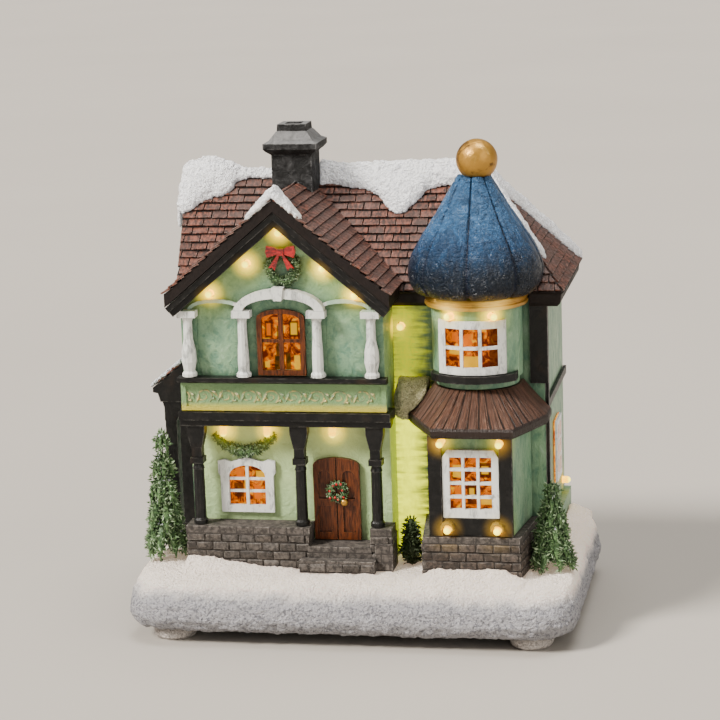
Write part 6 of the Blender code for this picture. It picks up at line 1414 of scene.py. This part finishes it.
# Onion dome
# A hand-finished bulb cast in one piece: eight lobes meet in narrow grooves, the shoulder is lined with
# fine wrinkles, and the blue lacquer is rubbed darker at the rim, with painted shade in the grooves and
# over the lower bulb and a painted highlight over its upper part.
dome_foot, dome_lobes = 136.0, 8
dome_curve = [
    (21.6, 0.0), (23.8, 1.2), (25.8, 4.4), (26.5, 9.6), (25.0, 15.0), (21.9, 20.8), (18.0, 26.8),
    (14.2, 32.6), (10.8, 38.4), (8.0, 43.0), (6.5, 45.6),
]

# Lobed dome: a turned shell whose wall is pressed in along its grooves and wrinkled across its shoulder
dome_tree, given, out = new_shape_tree("lobed dome", [
    ("Lobes", "Int", 10), ("Groove", "Float", 0.0009), ("Wrinkle", "Float", 0.00012),
    ("Centre", "Vector", (0.0, 0.0, 0.0)), ("Shoulder", "Float", 0.16),
    ("Paint", "Material", None),
])
t = dome_tree
from_centre = made(
    "ShaderNodeVectorMath", {0: own_place(t), 1: given["Centre"]}, operation="SUBTRACT"
)
parts = split(from_centre)
around = calc("ARCTAN2", parts[0], times(parts[1], -1.0))
turns = calc("DIVIDE", times(around, given["Lobes"]), 2 * math.pi)
from_seam = from_half(plus(turns, 0.5))
groove = ranged(from_seam, 0.0, 0.075, 1.0, 0.0)
lobe = calc("SINE", times(from_seam, math.pi))
world_z = split(own_place(t))[2]
level = calc("ABSOLUTE", minus(world_z, given["Shoulder"]))
in_zone = ranged(level, 0.006, 0.014, 1.0, 0.0)
bend = times(calc("SINE", times(world_z, 620.0)), 0.11)
crease = calc("SINE", times(plus(turns, bend), 2 * math.pi * 3.0))
wrinkle = times(times(crease, in_zone), times(lobe, given["Wrinkle"]))
press = minus(wrinkle, times(groove, given["Groove"]))
press = plus(press, times(lobe, 0.0005))
press_tree(t, given["Geometry"], press, given["Paint"], out)

dome_blue, shader, place = new_paint("blue dome lacquer", 0.42, shine=0.28)
spot = split(place)
angle = round_tower(spot)[2]
turns = calc("DIVIDE", times(angle, float(dome_lobes)), 2 * math.pi)
from_seam = from_half(plus(turns, 0.5))
seam = ranged(from_seam, 0.010, 0.026, 1.0, 0.0)
level = ranged(spot["Z"], dome_foot * mm, (dome_foot + 7.0) * mm)
rubbing = noise(scaled_axes(place, (1.0, 1.0, 0.3)), 260.0, 3.0, 0.6, 0.8)
blue = mixed(ranged(rubbing, 0.35, 0.68), (0.006, 0.026, 0.078), (0.034, 0.108, 0.250))
# Painted highlight: the upper bulb is painted lighter blue. Painted shade: the lower bulb is painted near
# black.
blue = mixed(ranged(spot["Z"], 0.146, 0.170, 0.0, 0.35), blue, (0.060, 0.150, 0.27))
blue = mixed(ranged(spot["Z"], 0.144, 0.166, 0.96, 0.0), blue, (0.003, 0.007, 0.014))
blue = mixed(level, (0.010, 0.010, 0.014), blue)
# Painted shade: the grooves are painted darker blue.
blue = mixed(seam, blue, (0.008, 0.012, 0.028))
rim_gold = times(ranged(level, 0.05, 0.9, 1.0, 0.0), ranged(noise(place, 160.0), 0.5, 0.62))
blue = mixed(times(rim_gold, 0.35), blue, (0.16, 0.10, 0.03))
feed(shader, "Base Color", blue)
feed_roughness(shader, rubbing, 0.40, 0.24)
scales_place = scaled_axes(place, (1.0, 1.0, 1.35))
peel = noise(scales_place, 330.0, 3.0, 0.55, 2.2)
bumped(shader, peel, 1.0, 0.0022)


def eased(points, steps):
    """A smooth curve through radius and height points, as many more points."""
    out_points = []
    for k in range(len(points) - 1):
        before = points[max(k - 1, 0)]
        start, end = points[k], points[k + 1]
        after = points[min(k + 2, len(points) - 1)]
        for j in range(steps):
            s = j / steps
            spot = []
            for axis in (0, 1):
                a, b, c, d = before[axis], start[axis], end[axis], after[axis]
                straight = 2 * b + (c - a) * s
                bend = (2 * a - 5 * b + 4 * c - d) * s * s + (3 * b - a - 3 * c + d) * s ** 3
                spot.append(0.5 * (straight + bend))
            out_points.append(tuple(spot))
    out_points.append(points[-1])
    return out_points


dome_profile = [(0.5, 0.05), (20.5, 0.05)] + eased(dome_curve, 9) + [(0.5, 45.6)]
dome_start = turned_mesh("dome start", dome_profile, 360, (tower_x, tower_y, dome_foot), (0, 0, 1))
dome_mesh = grown("onion_dome_lobes", dome_start, dome_tree, {
    "Lobes": dome_lobes, "Centre": (tower_x * mm, tower_y * mm, 0.0), "Paint": dome_blue,
})
painted_piece("onion_dome_lobes", dome_mesh, dome_blue, "dome_blue", "onion_dome")

# Gold ring and ball
# Turned and gilt, worn brown in patches: a stepped ring under the dome and a hollow ball on its tip.
ring_curve = [
    (18.3, 131.3), (20.1, 131.3), (20.55, 131.9), (20.5, 132.7), (19.9, 133.1), (19.9, 133.7), (20.5, 134.1),
    (20.55, 135.1), (20.1, 135.65), (18.3, 135.65), (18.3, 131.3),
]
ring_mesh = turned_mesh("gold_ring_turned", ring_curve, 120, (tower_x, tower_y, 0.0), (0, 0, 1))
painted_piece("gold_ring_turned", ring_mesh, gold, "gold", "gold_ring")
ball_x, ball_radius, ball_z, ball_seat = 50.4, 8.2, 188.2, 181.9
ball_curve = []
for k in range(41):
    angle = math.pi * (1.0 - k / 40)
    level = ball_z + ball_radius * math.cos(angle)
    if level > ball_seat:
        ball_curve.append((max(ball_radius * math.sin(angle), 0.15), level))
ball_mesh = turned_mesh("finial_ball_turned", ball_curve, 72, (ball_x, tower_y, 0.0), (0, 0, 1))
painted_piece("finial_ball_turned", ball_mesh, gold, "gold", "finial_ball")

# Snow on the roofs and in the recess
# The same gritty paste as on the base, heaped on the ridge, the hip and the valleys, given a soft painted
# glow all over and painted warmer as lamp light over the wing's gable where its lamps reach it.
# Painted glow: the roof snow is given a soft light of its own.
roof_snow = snow_paint(
    "roof snow", (0.98, 0.98, 0.98), (0.70, 0.71, 0.75), scale=560.0, soft_light=(0.30, 0.30, 0.31)
)
for lump in ("roof_snow_left", "roof_snow_right", "gable_snow"):
    snow_crust(lump, 0.5, 0.95, 480.0, roof_snow, smoothing=3)

# Painted lamp light: the recess snow is painted yellow all over, and glows yellow near the lamps.
recess_paint = snow_paint("lit recess snow", (0.96, 0.88, 0.52), (0.52, 0.47, 0.22))
snow_crust("recess_snow", 0.5, 0.8, 480.0, recess_paint, smoothing=3)

# Lamps
# Clear warm bulbs on one string pushed out through holes in the walls. Each tip is brightest at its middle.
bulb_paint, shader, place = new_paint("lit lamp tips", 0.15, glow=3.4)
away = stored(place, "tip")
cloud = noise(place, 700.0, 2.0)
tip_colour = mixed(ranged(away, 0.1, 0.9), (1.0, 0.50, 0.0), (1.0, 0.88, 0.06))
tip_colour = mixed(ranged(cloud, 0.45, 0.7, 0.0, 0.25), tip_colour, (1.0, 0.78, 0.06))
feed(shader, "Base Color", tip_colour)
feed(shader, "Emission Color", tip_colour)
dress(bulb_paint, "light_string")
tips = bmesh.new()
tip_share = tips.verts.layers.float.new("tip")
for spot, way in house_lamps():
    turn = Vector((0, 0, 1)).rotation_difference(Vector(way)).to_matrix().to_4x4()
    matrix = Matrix.Translation(Vector(spot) * mm) @ turn @ Matrix.Diagonal((1.0, 1.0, 1.15, 1.0))
    tip = bmesh.ops.create_uvsphere(tips, u_segments=20, v_segments=12, radius=1.5 * mm, matrix=matrix)
    for vert in tip["verts"]:
        vert[tip_share] = max((vert.co - Vector(spot) * mm).dot(Vector(way)) / (1.7 * mm), 0.0)
mesh = mesh_of(tips, "lamp_tips")
mesh.shade_smooth()
painted_piece("lamp_tips", mesh, bulb_paint, "bulb")
